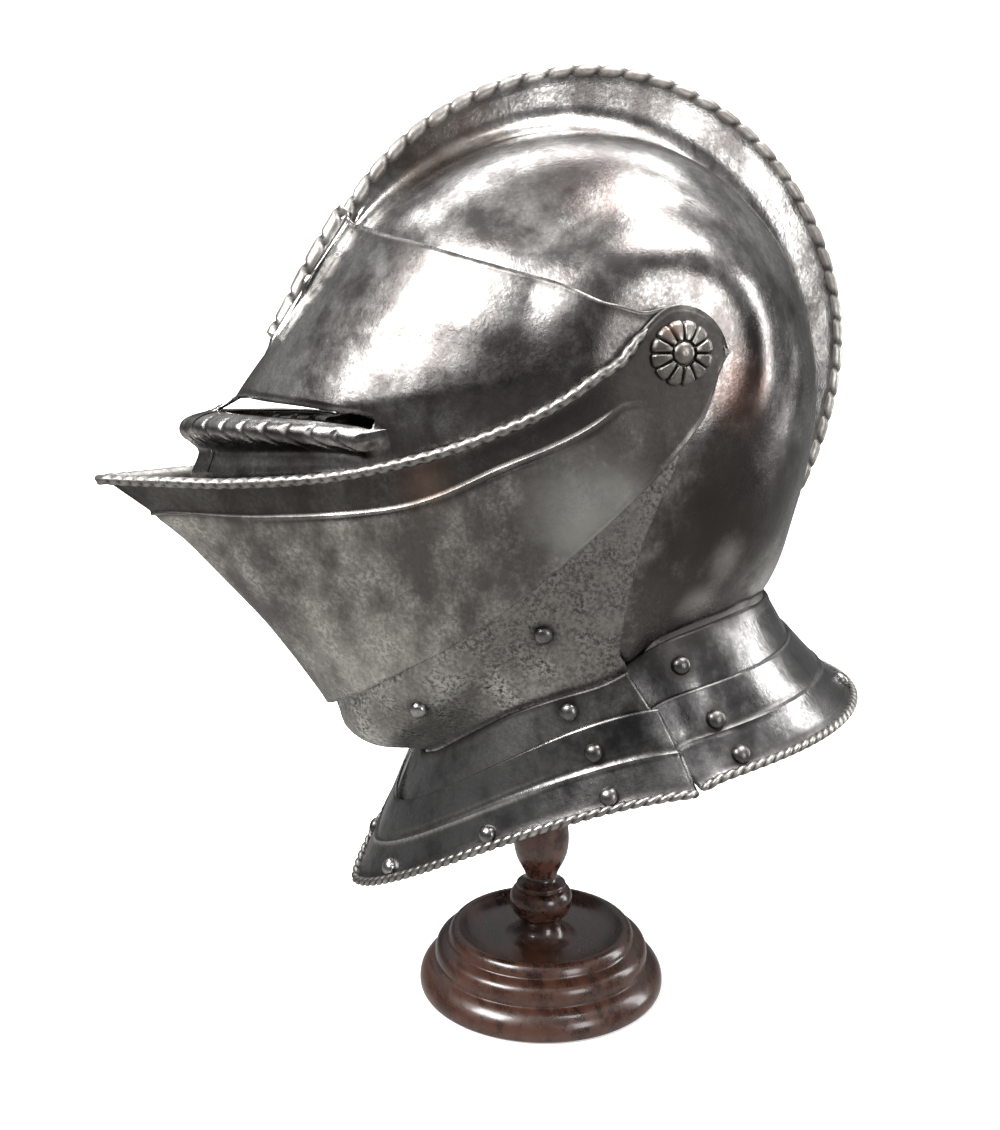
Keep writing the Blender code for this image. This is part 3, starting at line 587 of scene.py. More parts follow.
class Graph:
    """A short way to write a material's nodes."""

    def __init__(self, name):
        self.material = bpy.data.materials.new(name)
        self.material.use_nodes = True
        self.tree = self.material.node_tree
        self.shader = self.tree.nodes["Principled BSDF"]
        self.coords = self.tree.nodes.new("ShaderNodeTexCoord").outputs["Object"]

    def node(self, kind, **settings):
        made = self.tree.nodes.new(kind)
        for key, value in settings.items():
            setattr(made, key, value)
        return made

    def link(self, a, b):
        self.tree.links.new(a, b)

    def stretched(self, scale, turn=(0, 0, 0)):
        made = self.node("ShaderNodeMapping")
        made.inputs["Scale"].default_value = scale
        made.inputs["Rotation"].default_value = turn
        self.link(self.coords, made.inputs["Vector"])
        return made.outputs["Vector"]

    def cloud(self, scale, detail=6.0, roughness=0.6, vector=None):
        made = self.node("ShaderNodeTexNoise")
        made.inputs["Scale"].default_value = scale
        made.inputs["Detail"].default_value = detail
        made.inputs["Roughness"].default_value = roughness
        self.link(vector or self.coords, made.inputs["Vector"])
        return made.outputs["Fac"]

    def ramp(self, value, low, high, dark=0.0, light=1.0):
        made = self.node("ShaderNodeMapRange", interpolation_type="SMOOTHSTEP")
        made.inputs["From Min"].default_value = low
        made.inputs["From Max"].default_value = high
        made.inputs["To Min"].default_value = dark
        made.inputs["To Max"].default_value = light
        self.link(value, made.inputs["Value"])
        return made.outputs["Result"]

    def math(self, kind, a, b):
        made = self.node("ShaderNodeMath", operation=kind)
        for socket, value in zip(made.inputs, (a, b)):
            if isinstance(value, (int, float)):
                socket.default_value = value
            else:
                self.link(value, socket)
        return made.outputs["Value"]

    def blend(self, factor, a, b):
        made = self.node("ShaderNodeMix", data_type="RGBA")
        self.link(factor, made.inputs["Factor"])
        for socket, value in ((made.inputs[6], a), (made.inputs[7], b)):
            if isinstance(value, tuple):
                socket.default_value = (*value, 1.0)
            else:
                self.link(value, socket)
        return made.outputs[2]

    def near(self, place, reach, softness):
        """1 near a place and 0 away from it, with an uneven border."""
        shift = self.node("ShaderNodeVectorMath", operation="DISTANCE")
        self.link(self.coords, shift.inputs[0])
        shift.inputs[1].default_value = place
        uneven = self.math("MULTIPLY", self.cloud(55.0), softness)
        far = self.math("ADD", shift.outputs["Value"], uneven)
        return self.ramp(far, reach, reach + softness, 1.0, 0.0)

    def relief(self, layers):
        """Chain bumps: height, strength and distance of each."""
        normal = None
        for height, strength, distance in layers:
            made = self.node("ShaderNodeBump")
            made.inputs["Strength"].default_value = strength
            made.inputs["Distance"].default_value = distance
            self.link(height, made.inputs["Height"])
            if normal:
                self.link(normal, made.inputs["Normal"])
            normal = made.outputs["Normal"]
        self.link(normal, self.shader.inputs["Normal"])


def steel(name, light, dark, stain=0.5, pits=0.5, shine=(0.20, 0.42), patches=(), run=(1.0, 1.0, 0.35)):
    """Old polished steel: bright ground, dark stains that run along the plate, pits and fine scratches."""
    g = Graph(name)
    wide = g.cloud(16.0, 8.0, 0.62, g.stretched(run))
    middle = g.cloud(70.0, 8.0, 0.7)
    close = g.cloud(620.0, 4.0, 0.7)
    grain = g.cloud(1900.0, 3.0, 0.6)
    mixed = g.math("ADD", g.math("MULTIPLY", wide, 0.62), g.math("MULTIPLY", middle, 0.38))
    edge = mix(0.62, 0.40, stain)
    stained = g.ramp(mixed, edge - 0.10, edge + 0.12)
    colour = g.blend(stained, dark, light)
    speck = g.ramp(close, 0.40, 0.60)
    amount = g.math("MULTIPLY", g.math("SUBTRACT", 1.0, speck), pits)
    spots = g.math("MULTIPLY", amount, g.ramp(middle, 0.35, 0.65, 0.25, 1.0))
    colour = g.blend(spots, colour, tuple(c * 0.30 for c in dark))
    # the vertex layer darkens the colour towards one dark tone: painted shade in grooves, creases, hollows
    # and under edges, and a few other darker marks
    painted_shade_and_marks = g.node("ShaderNodeAttribute", attribute_name="painted_shade_and_marks").outputs["Fac"]
    colour = g.blend(g.math("MULTIPLY", painted_shade_and_marks, 0.92), colour, PAINTED_SHADE_AND_MARK_TONE)
    for place, reach, softness, tint, strength in patches:
        mask = g.math("MULTIPLY", g.near(place, reach, softness), strength)
        colour = g.blend(mask, colour, tint)
    g.link(colour, g.shader.inputs["Base Color"])
    low, high = shine
    rough = g.ramp(g.math("ADD", g.math("MULTIPLY", middle, 0.5), g.math("MULTIPLY", stained, -0.25)),
                   0.05, 0.35, low, high)
    rough = g.math("ADD", rough, g.math("MULTIPLY", g.math("MAXIMUM", spots, painted_shade_and_marks), 0.22))
    g.link(rough, g.shader.inputs["Roughness"])
    g.shader.inputs["Metallic"].default_value = 1.0
    scratches = g.cloud(900.0, 2.0, 0.5, g.stretched((1.0, 0.06, 1.0), (0.3, 0.0, 0.4)))
    g.relief(((g.cloud(38.0, 3.0), 0.25, 0.0010), (close, 0.25 + 0.35 * pits, 0.00022),
              (grain, 0.10 + 0.2 * pits, 0.00008), (scratches, 0.08, 0.0001)))
    return g.material


def wood(name):
    """Dark red-brown turned hardwood with fine open grain, waxed."""
    g = Graph(name)
    grain = g.cloud(150.0, 6.0, 0.65, g.stretched((0.10, 1.0, 1.0)))
    pores = g.cloud(900.0, 3.0, 0.6, g.stretched((0.05, 1.0, 1.0)))
    figure = g.cloud(30.0, 3.0, 0.5, g.stretched((0.3, 1.0, 1.0)))
    colour = g.blend(g.ramp(figure, 0.35, 0.65), (0.011, 0.0046, 0.0034), (0.029, 0.0110, 0.0072))
    colour = g.blend(g.ramp(grain, 0.38, 0.62), colour, (0.052, 0.021, 0.013))
    colour = g.blend(g.ramp(pores, 0.55, 0.70, 0.0, 0.45), colour, (0.012, 0.004, 0.003))
    g.link(colour, g.shader.inputs["Base Color"])
    g.link(g.ramp(grain, 0.3, 0.7, 0.22, 0.36), g.shader.inputs["Roughness"])
    g.shader.inputs["Coat Weight"].default_value = 0.35
    g.shader.inputs["Coat Roughness"].default_value = 0.12
    g.relief(((grain, 0.10, 0.0004), (pores, 0.22, 0.00015)))
    return g.material


PAINTED_SHADE_AND_MARK_TONE = (0.035, 0.031, 0.029)
BRIGHT = (0.66, 0.645, 0.62)
DARK = (0.105, 0.096, 0.092)
RUST = (0.20, 0.095, 0.070)
SKULL_LOOK = steel("skull_steel", (0.70, 0.685, 0.66), DARK, 0.50, 0.35, (0.12, 0.30), (
    ((0.095, 0.060, 0.215), 0.045, 0.040, (0.040, 0.035, 0.033), 0.88),
    ((0.082, 0.050, 0.200), 0.006, 0.018, BRIGHT, 0.45),
    ((0.075, 0.040, 0.185), 0.006, 0.014, BRIGHT, 0.40),
    ((0.060, -0.002, 0.335), 0.022, 0.025, (0.075, 0.060, 0.056), 0.80),
    ((0.098, 0.045, 0.262), 0.010, 0.022, RUST, 0.45),
    ((0.085, 0.075, 0.225), 0.010, 0.030, DARK, 0.60),
    ((0.003, -0.050, 0.368), 0.030, 0.020, (0.16, 0.125, 0.105), 0.60)))
VISOR_LOOK = steel("visor_steel", (0.68, 0.67, 0.645), DARK, 0.44, 0.40, (0.13, 0.34), (
    # painted reflection: dark patches on the visor's lower side near the arm
    ((0.088, -0.035, 0.262), 0.022, 0.035, (0.085, 0.078, 0.075), 0.85),
    ((0.075, -0.062, 0.245), 0.012, 0.025, (0.060, 0.055, 0.053), 0.80)))
VENTAIL_LOOK = steel("ventail_steel", (0.60, 0.585, 0.55), (0.13, 0.122, 0.115), 0.44, 0.50, (0.22, 0.40), (
    ((0.060, -0.125, 0.215), 0.012, 0.035, (0.10, 0.095, 0.09), 0.60),
    ((0.075, -0.060, 0.232), 0.006, 0.020, (0.22, 0.13, 0.105), 0.6),
    ((0.095, -0.010, 0.222), 0.016, 0.030, (0.56, 0.55, 0.52), 0.55)))
BEVOR_LOOK = steel("bevor_steel", (0.74, 0.725, 0.69), (0.26, 0.25, 0.235), 0.30, 1.0, (0.24, 0.44), (
    # painted shade: a dark patch low on the bevor, where it turns in to the neck
    ((0.045, -0.075, 0.125), 0.018, 0.025, DARK, 0.70),))
GORGET_LOOK = steel("gorget_steel", (0.46, 0.45, 0.445), (0.075, 0.072, 0.072), 0.60, 0.35, (0.18, 0.38))
TRIM_LOOK = steel("rubbed_steel", (0.74, 0.725, 0.69), (0.32, 0.31, 0.29), 0.20, 0.25, (0.26, 0.40))
COMB_LOOK = steel("comb_steel", (0.66, 0.645, 0.61), (0.22, 0.20, 0.185), 0.35, 0.40, (0.36, 0.52))
WOOD_LOOK = wood("turned_wood")
RIVET_PLACES = []
for node in sorted(frame["nodes"]):
    if "_rivet_" in node:
        low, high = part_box(node)
        word = node.split("_rivet_")[0]
        word = word if word == "bevor" else word.replace("_", "_neck_")
        if (low + high)[0] > 0:
            RIVET_PLACES.append((word, (low + high) / 2))


# Ropes

def rope_tube(name, points, radius, pitch, starts, depth, width, body, look):
    """A filed rope along a line: a tube with grooves that wind round it."""
    line = [points[0]]
    for point in points[1:]:
        if (point - line[-1]).length > 1e-6:
            line.append(point)
    count = max(int(sum((b - a).length for a, b in zip(line, line[1:])) / (pitch / 9)), 8)
    line = path(line, count) if len(line) < 200 else line
    around = 16
    bm = bmesh.new()
    layer = bm.verts.layers.float.new("painted_shade_and_marks")
    rings = []
    normal = None
    run = 0.0
    for i, point in enumerate(line):
        ahead = (line[min(i + 1, len(line) - 1)] - line[max(i - 1, 0)]).normalized()
        if normal is None:
            normal = ahead.orthogonal()
        normal = (normal - ahead * normal.dot(ahead)).normalized()
        other = ahead.cross(normal)
        if i:
            run += (point - line[i - 1]).length
        end = min(i, len(line) - 1 - i)
        taper = math.sqrt(min(end / 4, 1.0)) * 0.75 + 0.25
        ring = []
        for k in range(around):
            a = 2 * math.pi * k / around
            turn = run / pitch + starts * k / around
            groove = bump(abs(turn - round(turn)), width)
            r = radius * taper * (1 - depth * groove)
            vert = bm.verts.new(point + (normal * math.cos(a) + other * math.sin(a)) * r)
            # painted shade in the grooves of the rope
            vert[layer] = min(groove * 1.3, 1.0) ** 1.5
            ring.append(vert)
        rings.append(ring)
    for low, high in zip(rings, rings[1:]):
        for k in range(around):
            n = (k + 1) % around
            bm.faces.new((low[k], low[n], high[n], high[k]))
    bm.faces.new(rings[0][::-1])
    bm.faces.new(rings[-1])
    bmesh.ops.recalc_face_normals(bm, faces=bm.faces)
    return finish_object(name, bm, body, (), look, 60)


def whole(half):
    """A line on the +X half, from its side to the middle, and on to the other side."""
    return half + [Vector((-p.x, p.y, p.z)) for p in half[-2::-1]]


# The skull

def skull_columns(angle):
    reach, fullness = shape_at(SKULL_SHAPE, angle)
    crest = REACH * along(SKULL_COMB, angle, 1) if angle < COMB_END_ANGLE else reach
    theta_a = math.asin(BOSS_RADIUS / reach)
    theta_b = math.asin(foot_share(SKULL_WIDTH, fullness, 0.0))
    points = []
    for j in range(31):
        radius = reach * math.sin(mix(theta_a, theta_b, j / 30))
        points.append(side_point(angle, radius, arch_x(SKULL_WIDTH, reach, fullness, radius)))
    for x, radius in comb_line(SKULL_WIDTH, reach, fullness, crest, 0.0, COMB_ROPE_RADIUS):
        points.append(side_point(angle, radius, x))
    points[-1].x = 0.0
    return points


def make_skull():
    nape = SKULL_NECK[0][0]
    angles = [mix(BROW_ANGLE, nape, k / 180) for k in range(181)]
    rows = [skull_columns(angle) for angle in angles]
    reach = shape_at(SKULL_SHAPE, nape)[0]
    start = math.asin(BOSS_RADIUS / reach)
    spacing = [(math.asin(min(polar(p)[1] / reach, 1.0)) - start) / (math.pi / 2 - start) for p in rows[-1]]
    low_angles = []
    for (a, _), (b, _) in zip(SKULL_NECK, SKULL_NECK[1:]):
        parts = 4 if b - a < 5 else 10
        low_angles += [mix(a, b, (k + 1) / parts) for k in range(parts)]
    for k, angle in enumerate(low_angles):
        reach, fullness = shape_at(SKULL_SHAPE, angle)
        share = min(along(SKULL_NECK, angle, 1), 1.0)
        evenness = min((k + 1) / 14, 1.0)
        points = []
        for j, crowded in enumerate(spacing):
            place = mix(crowded, j / (len(spacing) - 1), evenness)
            radius = reach * math.sin(mix(math.asin(BOSS_RADIUS / reach), math.asin(share), place))
            points.append(side_point(angle, radius, arch_x(SKULL_WIDTH, reach, fullness, radius)))
        rows.append(points)
    angles += low_angles
    neck_from = 180
    last = len(rows[0]) - 1
    outer = []
    for points in beaten(rows):
        low = collar_point(points[-1])
        outer.append(points + [points[-1].lerp(low, k / 4) for k in range(1, 5)])

    def keep(i, j):
        return j < last or i >= neck_from

    boss = []
    for angle in angles + [mix(285, 370, k / 20) for k in range(1, 21)]:
        boss.append([side_point(angle, BOSS_RADIUS * k / 3, SKULL_WIDTH) for k in range(4)])
    for k, points in enumerate(outer):
        boss[k][3] = points[0]
    grids = [(outer, keep, clean), (boss, everywhere, clean)]
    sheet("skull_bowl", grids, WALL, "carried_helm", ("skull",), SKULL_LOOK)
    crest = []
    for k in range(500):
        angle = mix(14, COMB_END_ANGLE - 2, k / 499)
        top = REACH * along(SKULL_COMB, angle, 1) - COMB_ROPE_RADIUS * 0.80
        crest.append(side_point(angle, max(top, shape_at(SKULL_SHAPE, angle)[0] - 0.001)))
    radius = COMB_ROPE_RADIUS * 0.86
    rope_tube("skull_comb_rope", crest, radius, 0.0105, 1, 0.28, 0.11, "carried_helm", COMB_LOOK)


# The ventail

VENTAIL_STEP = ((-62, 0.100), (-38.9, 0.104), (-39.8, 0.189), (-37.5, 0.285), (-33.7, 0.399), (-30.9, 0.591),
                (-24.0, 0.816), (-19.7, 0.962), (-19.2, 1.0))


def ventail_point(angle, radius, in_middle):
    reach, fullness = shape_at(VENTAIL_SHAPE, angle)
    if in_middle:
        return side_point(angle, reach)
    return side_point(angle, radius, arch_x(VENTAIL_WIDTH, reach, fullness, radius))


def make_ventail():
    count = 150
    tops = path(edge_points(VENTAIL_SHAPE, VENTAIL_WIDTH, VENTAIL_TOP, 70), count)
    steps = path(edge_points(VENTAIL_SHAPE, VENTAIL_WIDTH, VENTAIL_STEP, -120), count)
    lows = path(edge_points(VENTAIL_SHAPE, VENTAIL_WIDTH, VENTAIL_LOW, -150), count)
    upper_rows = 26
    lower_rows = 34
    for k in range(count):
        on_arm = 1 - ease(ARM_RADIUS * 1.05, ARM_RADIUS * 1.8, polar(steps[k])[1])
        steps[k] = steps[k].lerp(tops[k].lerp(lows[k], 0.5), on_arm)
    grid = []
    for k in range(count):
        turn = ease(0.16, 0.42, k / (count - 1))
        column = []
        for a, b, rows in ((tops[k], steps[k], upper_rows), (steps[k], lows[k], lower_rows)):
            for n in range(rows):
                share = n / rows
                share = share ** 1.25 if rows == lower_rows else 0.5 - 0.5 * math.cos(math.pi * share)
                angle, radius = between(VENTAIL_SHAPE, a, b, share, turn)
                column.append(ventail_point(angle, radius, k == count - 1))
        angle, radius = polar(lows[k])
        column.append(ventail_point(angle, radius, k == count - 1))
        grid.append(column)
    runs = [lengths_down(column) for column in grid]

    def height(i, j, point):
        from_top = runs[i][j]
        from_step = from_top - runs[i][upper_rows]
        from_low = runs[i][-1] - from_top
        reach = polar(tops[i])[1]
        grown = ease(ARM_RADIUS * 1.15, ARM_RADIUS * 2.2, reach)
        sunk = ease(0.0024, 0.0040, from_top) * (1 - ease(-0.0016, -0.0002, from_step))
        line = 0.00055 * bump(from_step, 0.0007) - 0.00040 * bump(from_step - 0.0017, 0.0006)
        rim = 0.0005 * bump(from_top, 0.0010) + 0.0003 * bump(from_low, 0.0012)
        base = hammering(point) if abs(point.x) > 1e-6 else 0.0
        return base + grown * (line - 0.0006 * sunk) + rim

    def painted_shade_and_marks(i, j, point):
        from_top = runs[i][j]
        from_step = from_top - runs[i][upper_rows]
        from_low = runs[i][-1] - from_top
        on_arm = 1 - ease(ARM_RADIUS, ARM_RADIUS * 1.9, polar(tops[i])[1])
        # on the arm the field round the rosette is darker; elsewhere painted shade darkens the sunk band
        # under the top edge and the grooves beside the raised line
        inside = ease(0.0012, 0.0024, from_top) * ease(0.0012, 0.0024, from_low)
        band = 0.86 * ease(0.0022, 0.0034, from_top) * (1 - ease(-0.0010, -0.0002, from_step))
        line = 0.9 * bump(from_step + 0.0016, 0.0008) + 0.85 * bump(from_step - 0.0018, 0.0007)
        return min(max(band, line) * (1 - on_arm) + 0.90 * inside * on_arm, 1.0)

    grid = lift(grid, height)
    sheet("ventail_plate", [(grid, everywhere, painted_shade_and_marks)], WALL, "ventail_body", ("ventail",), VENTAIL_LOOK)
    normals = surface_normals(grid)
    first = min(k for k in range(count) if polar(tops[k])[0] < 40 and k > 10)
    edge = []
    for k in range(first, count):
        upwards = (grid[k][0] - grid[k][3]).normalized()
        edge.append(grid[k][0] + normals[k][1] * 0.0006 - upwards * 0.0006)
    rope_tube("ventail_rope", whole(edge), 0.0021, 0.0056, 2, 0.36, 0.17, "ventail_body", TRIM_LOOK)


# The bevor

def make_bevor():
    rear = path(edge_points(BEVOR_SHAPE, BEVOR_WIDTH, BEVOR_REAR, -130), 60)
    neck = table_points(BEVOR_SHAPE, BEVOR_WIDTH, BEVOR_REAR[-1:] + BEVOR_NECK)
    neck[-1].x = 0.0
    lows = rear + path(neck, 76)[1:]
    count = len(lows)
    tops = path(edge_points(BEVOR_SHAPE, BEVOR_WIDTH, BEVOR_TOP, 40), count)
    rows = 40
    grid = []
    for k in range(count):
        column = []
        for n in range(rows + 1):
            turn = ease(0.12, 0.40, k / (count - 1))
            angle, radius = between(BEVOR_SHAPE, tops[k], lows[k], n / rows, turn)
            reach, fullness = shape_at(BEVOR_SHAPE, angle)
            if k == count - 1:
                column.append(side_point(angle, reach))
            else:
                column.append(side_point(angle, radius, arch_x(BEVOR_WIDTH, reach, fullness, radius)))
        grid.append(column)
    grid = beaten(grid)
    for k, column in enumerate(grid):
        low = collar_point(column[-1])
        grid[k] = column + [column[-1].lerp(low, n / 4) for n in range(1, 5)]

    def keep(i, j):
        return j < rows or i >= 59

    sheet("bevor_plate", [(grid, keep, clean)], WALL, "bevor_body", ("bevor",), BEVOR_LOOK)
    return neck


# The visor

def visor_edge(rows, middle_angle, turn_to, count):
    _, fullness = shape_at(VISOR_SHAPE, middle_angle)
    last = (middle_angle, foot_share(VISOR_WIDTH, fullness, LAYER))
    return path(edge_points(VISOR_SHAPE, VISOR_WIDTH, rows + (last,), turn_to), count)


# how the sight's lip really rounds over: degrees below the sight's upper edge, reach, fullness
LIP_ROUND = (
    (0.0, 1.438, 1.50),
    (1.65, 1.549, 1.38),
    (1.72, 1.590, 1.35),
    (1.95, 1.625, 1.33),
    (2.35, 1.652, 1.31),
    (3.00, 1.669, 1.30),
    (3.90, 1.673, 1.29),
    (4.80, 1.662, 1.27),
    (5.50, 1.645, 1.25),
    (6.10, 1.629, 1.24),
    (7.00, 1.622, 1.22),
    (8.20, 1.645, 1.20),
    (9.50, 1.677, 1.18),
    (12.0, 1.680, 1.16),
)
LOWER_STEPS = (1.65, 1.68, 1.72, 1.82, 1.95, 2.12, 2.35, 2.65, 3.0, 3.4, 3.9, 4.4, 4.8, 5.15, 5.5, 5.8, 6.1,
               6.5,
               7.0, 7.6, 8.4, 9.5, 10.6, 12.0)


def visor_section(below, lip):
    """Reach and fullness some degrees below the sight's upper edge; lip is 1 where the lip stands out."""
    reach = REACH * mix(along(VISOR_STEP, below, 3), along(LIP_ROUND, below, 1), lip)
    fullness = mix(along(VISOR_STEP, below, 4), along(LIP_ROUND, below, 2), lip)
    return reach, fullness


def make_visor():
    count = 330
    upper_rows = 28
    top = visor_edge(VISOR_TOP, VISOR_TOP_MIDDLE, 75, count)
    sight = visor_edge(VISOR_SIGHT, SIGHT_MIDDLE, -75, count)
    grid = []
    shares = []
    for k in range(count):
        column = []
        turn = ease(0.16, 0.42, k / (count - 1))
        for n in range(upper_rows + 1):
            angle, radius = between(VISOR_SHAPE, top[k], sight[k], n / upper_rows, turn)
            reach, fullness = shape_at(VISOR_SHAPE, angle)
            column.append(side_point(angle, radius, arch_x(VISOR_WIDTH, reach, fullness, radius)))
        angle, radius = polar(sight[k])
        share = min(radius / shape_at(VISOR_SHAPE, angle)[0], 1.0)
        lip = ease(LIP_END - 0.004, LIP_END + 0.014, share)
        fade = ease(ARM_RADIUS, ARM_RADIUS * 2.5, radius)
        above, above_fullness = shape_at(VISOR_SHAPE, angle)
        for below in LOWER_STEPS:
            reach, fullness = visor_section(below, lip)
            low = mix(radius, reach * share, fade)
            place = side_point(angle - below * fade, low, arch_x(VISOR_WIDTH, reach, fullness, low))
            out = arch_x(VISOR_WIDTH, above, above_fullness, radius)
            smooth = side_point(angle - below * fade, radius, out)
            column.append(smooth.lerp(place, max(lip, ease(5.0, 11.0, below))))
        grid.append(column)
        shares.append(share)
    comb_count = len(comb_section(LAYER, COMB_ROPE_RADIUS))
    for k in range(comb_count):
        column = []
        top_angle = mix(VISOR_TOP_MIDDLE, VISOR_COMB_TOP, (k + 1) / comb_count)
        for n in range(upper_rows + 1):
            angle = mix(top_angle, SIGHT_MIDDLE, n / upper_rows)
            reach, fullness = shape_at(VISOR_SHAPE, angle)
            crest = REACH * along(VISOR_COMB, angle, 1) if angle > VISOR_COMB[0][0] else reach
            x, radius = comb_line(VISOR_WIDTH, reach, fullness, crest, LAYER, COMB_ROPE_RADIUS)[k]
            column.append(side_point(angle, radius, x))
        for below in LOWER_STEPS:
            reach, fullness = visor_section(below, 1.0)
            x, radius = comb_line(VISOR_WIDTH, reach, fullness, reach, LAYER, COMB_ROPE_RADIUS)[k]
            column.append(side_point(SIGHT_MIDDLE - below, radius, x))
        grid.append(column)
        shares.append(1.0)
    for point in grid[-1]:
        point.x = 0.0
    along_lip = [0.0]
    for a, b in zip(grid, grid[1:]):
        along_lip.append(along_lip[-1] + (b[upper_rows + 8] - a[upper_rows + 8]).length)
    runs = [lengths_down(column) for column in grid]

    def lip_line(i, below):
        """1 on the slanting lines that are cut into the lip."""
        turn = (along_lip[-1] - along_lip[i] - 0.0021 * below) / 0.0105
        on_lip = ease(1.7, 2.2, below) * (1 - ease(5.2, 6.1, below))
        return bump(abs(turn - round(turn)), 0.095) * on_lip

    def painted_shade_and_marks(i, j, point):
        # painted shade in the crease inside the raised top edge
        edge = 0.5 * bump(runs[i][j] - 0.0022, 0.0010)
        if j <= upper_rows:
            return edge
        below = LOWER_STEPS[j - upper_rows - 1]
        # a darker patch below the sight where the lip ends
        if shares[i] < LIP_END:
            return 0.85 * bump(shares[i] - LIP_END, 0.050) * (1 - ease(6.0, 9.0, below))
        # painted shade in the lines cut into the lip and in the hollow under the lip
        return max(0.95 * lip_line(i, below), 0.55 * ease(4.6, 6.0, below) * (1 - ease(8.0, 11.0, below)))

    def height(i, j, point):
        base = hammering(point) if abs(point.x) > 1e-6 else 0.0
        rim = 0.00035 * bump(runs[i][j], 0.0010)
        incised = 0.0
        if j > upper_rows and shares[i] > LIP_END:
            below = LOWER_STEPS[j - upper_rows - 1]
            incised = -0.0006 * lip_line(i, below)
        return base + rim + incised

    grid = lift(grid, height)

    def keep(i, j):
        in_slit = j == upper_rows and shares[i] > SIGHT_END and i < len(grid) - 5
        return not in_slit

    sheet("visor_plate", [(grid, keep, painted_shade_and_marks)], WALL, "visor_body", ("visor",), VISOR_LOOK)
    crest = []
    for k in range(200):
        angle = mix(VISOR_COMB_TOP, 2.5, k / 199)
        crest.append(side_point(angle, REACH * along(VISOR_COMB, angle, 1) - 0.0046))
    rope_tube("visor_comb_rope", crest, 0.0042, 0.0125, 1, 0.28, 0.10, "visor_body", COMB_LOOK)


# The neck defence

def neck_curve(neck, front, count):
    points = path(neck, count)
    down = Vector((0, 0, -LAME_DROP))
    moved = [p + o * (GAP + LAME_WALL) + down for p, o in zip(points, outward_of(points))]
    if not front:
        moved[0].y += SEAM
    moved[-1].x = 0.0
    return moved


def tuck(points, length):
    """Carry the front end of a rear plate on under the front one."""
    outs = outward_of(points)
    ahead = (points[0] - points[3]).normalized()
    whole_run = lengths_down(points)
    for k, run in enumerate(whole_run):
        near = 1 - ease(0.0, 0.020, run)
        points[k] = points[k] + ahead * length * near - outs[k] * 0.0022 * min(near * 1.6, 1.0) * (length > 0)


def make_gorget(bevor_neck):
    nape = SKULL_NECK[0][0]
    rear_neck = []
    for angle, share in SKULL_NECK[:-1]:
        reach, fullness = shape_at(SKULL_SHAPE, angle)
        radius = reach * share
        x = arch_x(SKULL_WIDTH, reach, fullness, radius) if angle > nape else 0.0
        rear_neck.append(side_point(angle, radius, x))
    rear_neck = rear_neck[::-1]
    count = 80
    for front in (True, False):
        word = "front" if front else "rear"
        body = "bevor_body" if front else "carried_helm"
        top = neck_curve(bevor_neck if front else rear_neck, front, count)
        low = ring_curve("lame_low", front, count)
        if not front:
            for points in (top, low):
                tuck(points, 0.007)
        lame = [[a.lerp(b, n / 16) for n in range(17)] for a, b in zip(top, low)]

        def lame_height(i, j, point):
            base = hammering(point) if abs(point.x) > 1e-6 else 0.0
            return base + 0.0004 * bump(j - 1.0, 1.0)

        lame = lift(lame, lame_height)
        rings = [ring_curve(name, front, count) for name in ("plate_top", "step", "bottom")]
        if not front:
            for points, length in zip(rings, (0.007, 0.005, 0.0)):
                tuck(points, length)
        plate = []
        for a, b, c in zip(*rings):
            column = [a.lerp(b, n / 14) for n in range(14)]
            column += [b.lerp(c, n / 18) for n in range(19)]
            plate.append(column)
        runs = [lengths_down(column) for column in plate]

        def plate_height(i, j, point):
            base = hammering(point) if abs(point.x) > 1e-6 else 0.0
            from_step = runs[i][j] - runs[i][14]
            line = 0.0006 * bump(from_step, 0.0008) - 0.0004 * bump(from_step + 0.0018, 0.0008)
            rim = 0.0005 * bump(runs[i][-1] - runs[i][j], 0.0022)
            return base + line + rim

        def plate_painted_shade(i, j, point):
            from_step = runs[i][j] - runs[i][14]
            # painted shade in the groove above the raised line and in the crease above the lower rim
            low_line = 0.7 * bump(runs[i][-1] - runs[i][j] - 0.0034, 0.0012)
            return max(0.6 * bump(from_step + 0.0020, 0.0010), low_line)

        def lame_painted_shade(i, j, point):
            # painted shade along the top of the lame, under the edge of the helm
            return 0.8 * bump(j, 3.0)

        plate = lift(plate, plate_height)
        for kind, grid, painted_shade_and_marks in (("lame", lame, lame_painted_shade), ("plate", plate, plate_painted_shade)):
            grids = [(grid, everywhere, painted_shade_and_marks)]
            sheet(word + "_neck_" + kind, grids, LAME_WALL, body, (word + "_" + kind,), GORGET_LOOK)
        normals = surface_normals(plate)
        edge = [plate[k][-1] + normals[k][-2] * 0.0001 for k in range(count)]
        rope_tube(word + "_plate_rope", whole(edge), 0.0018, 0.0046, 2, 0.36, 0.17, body, TRIM_LOOK)


# Pivots and rivets

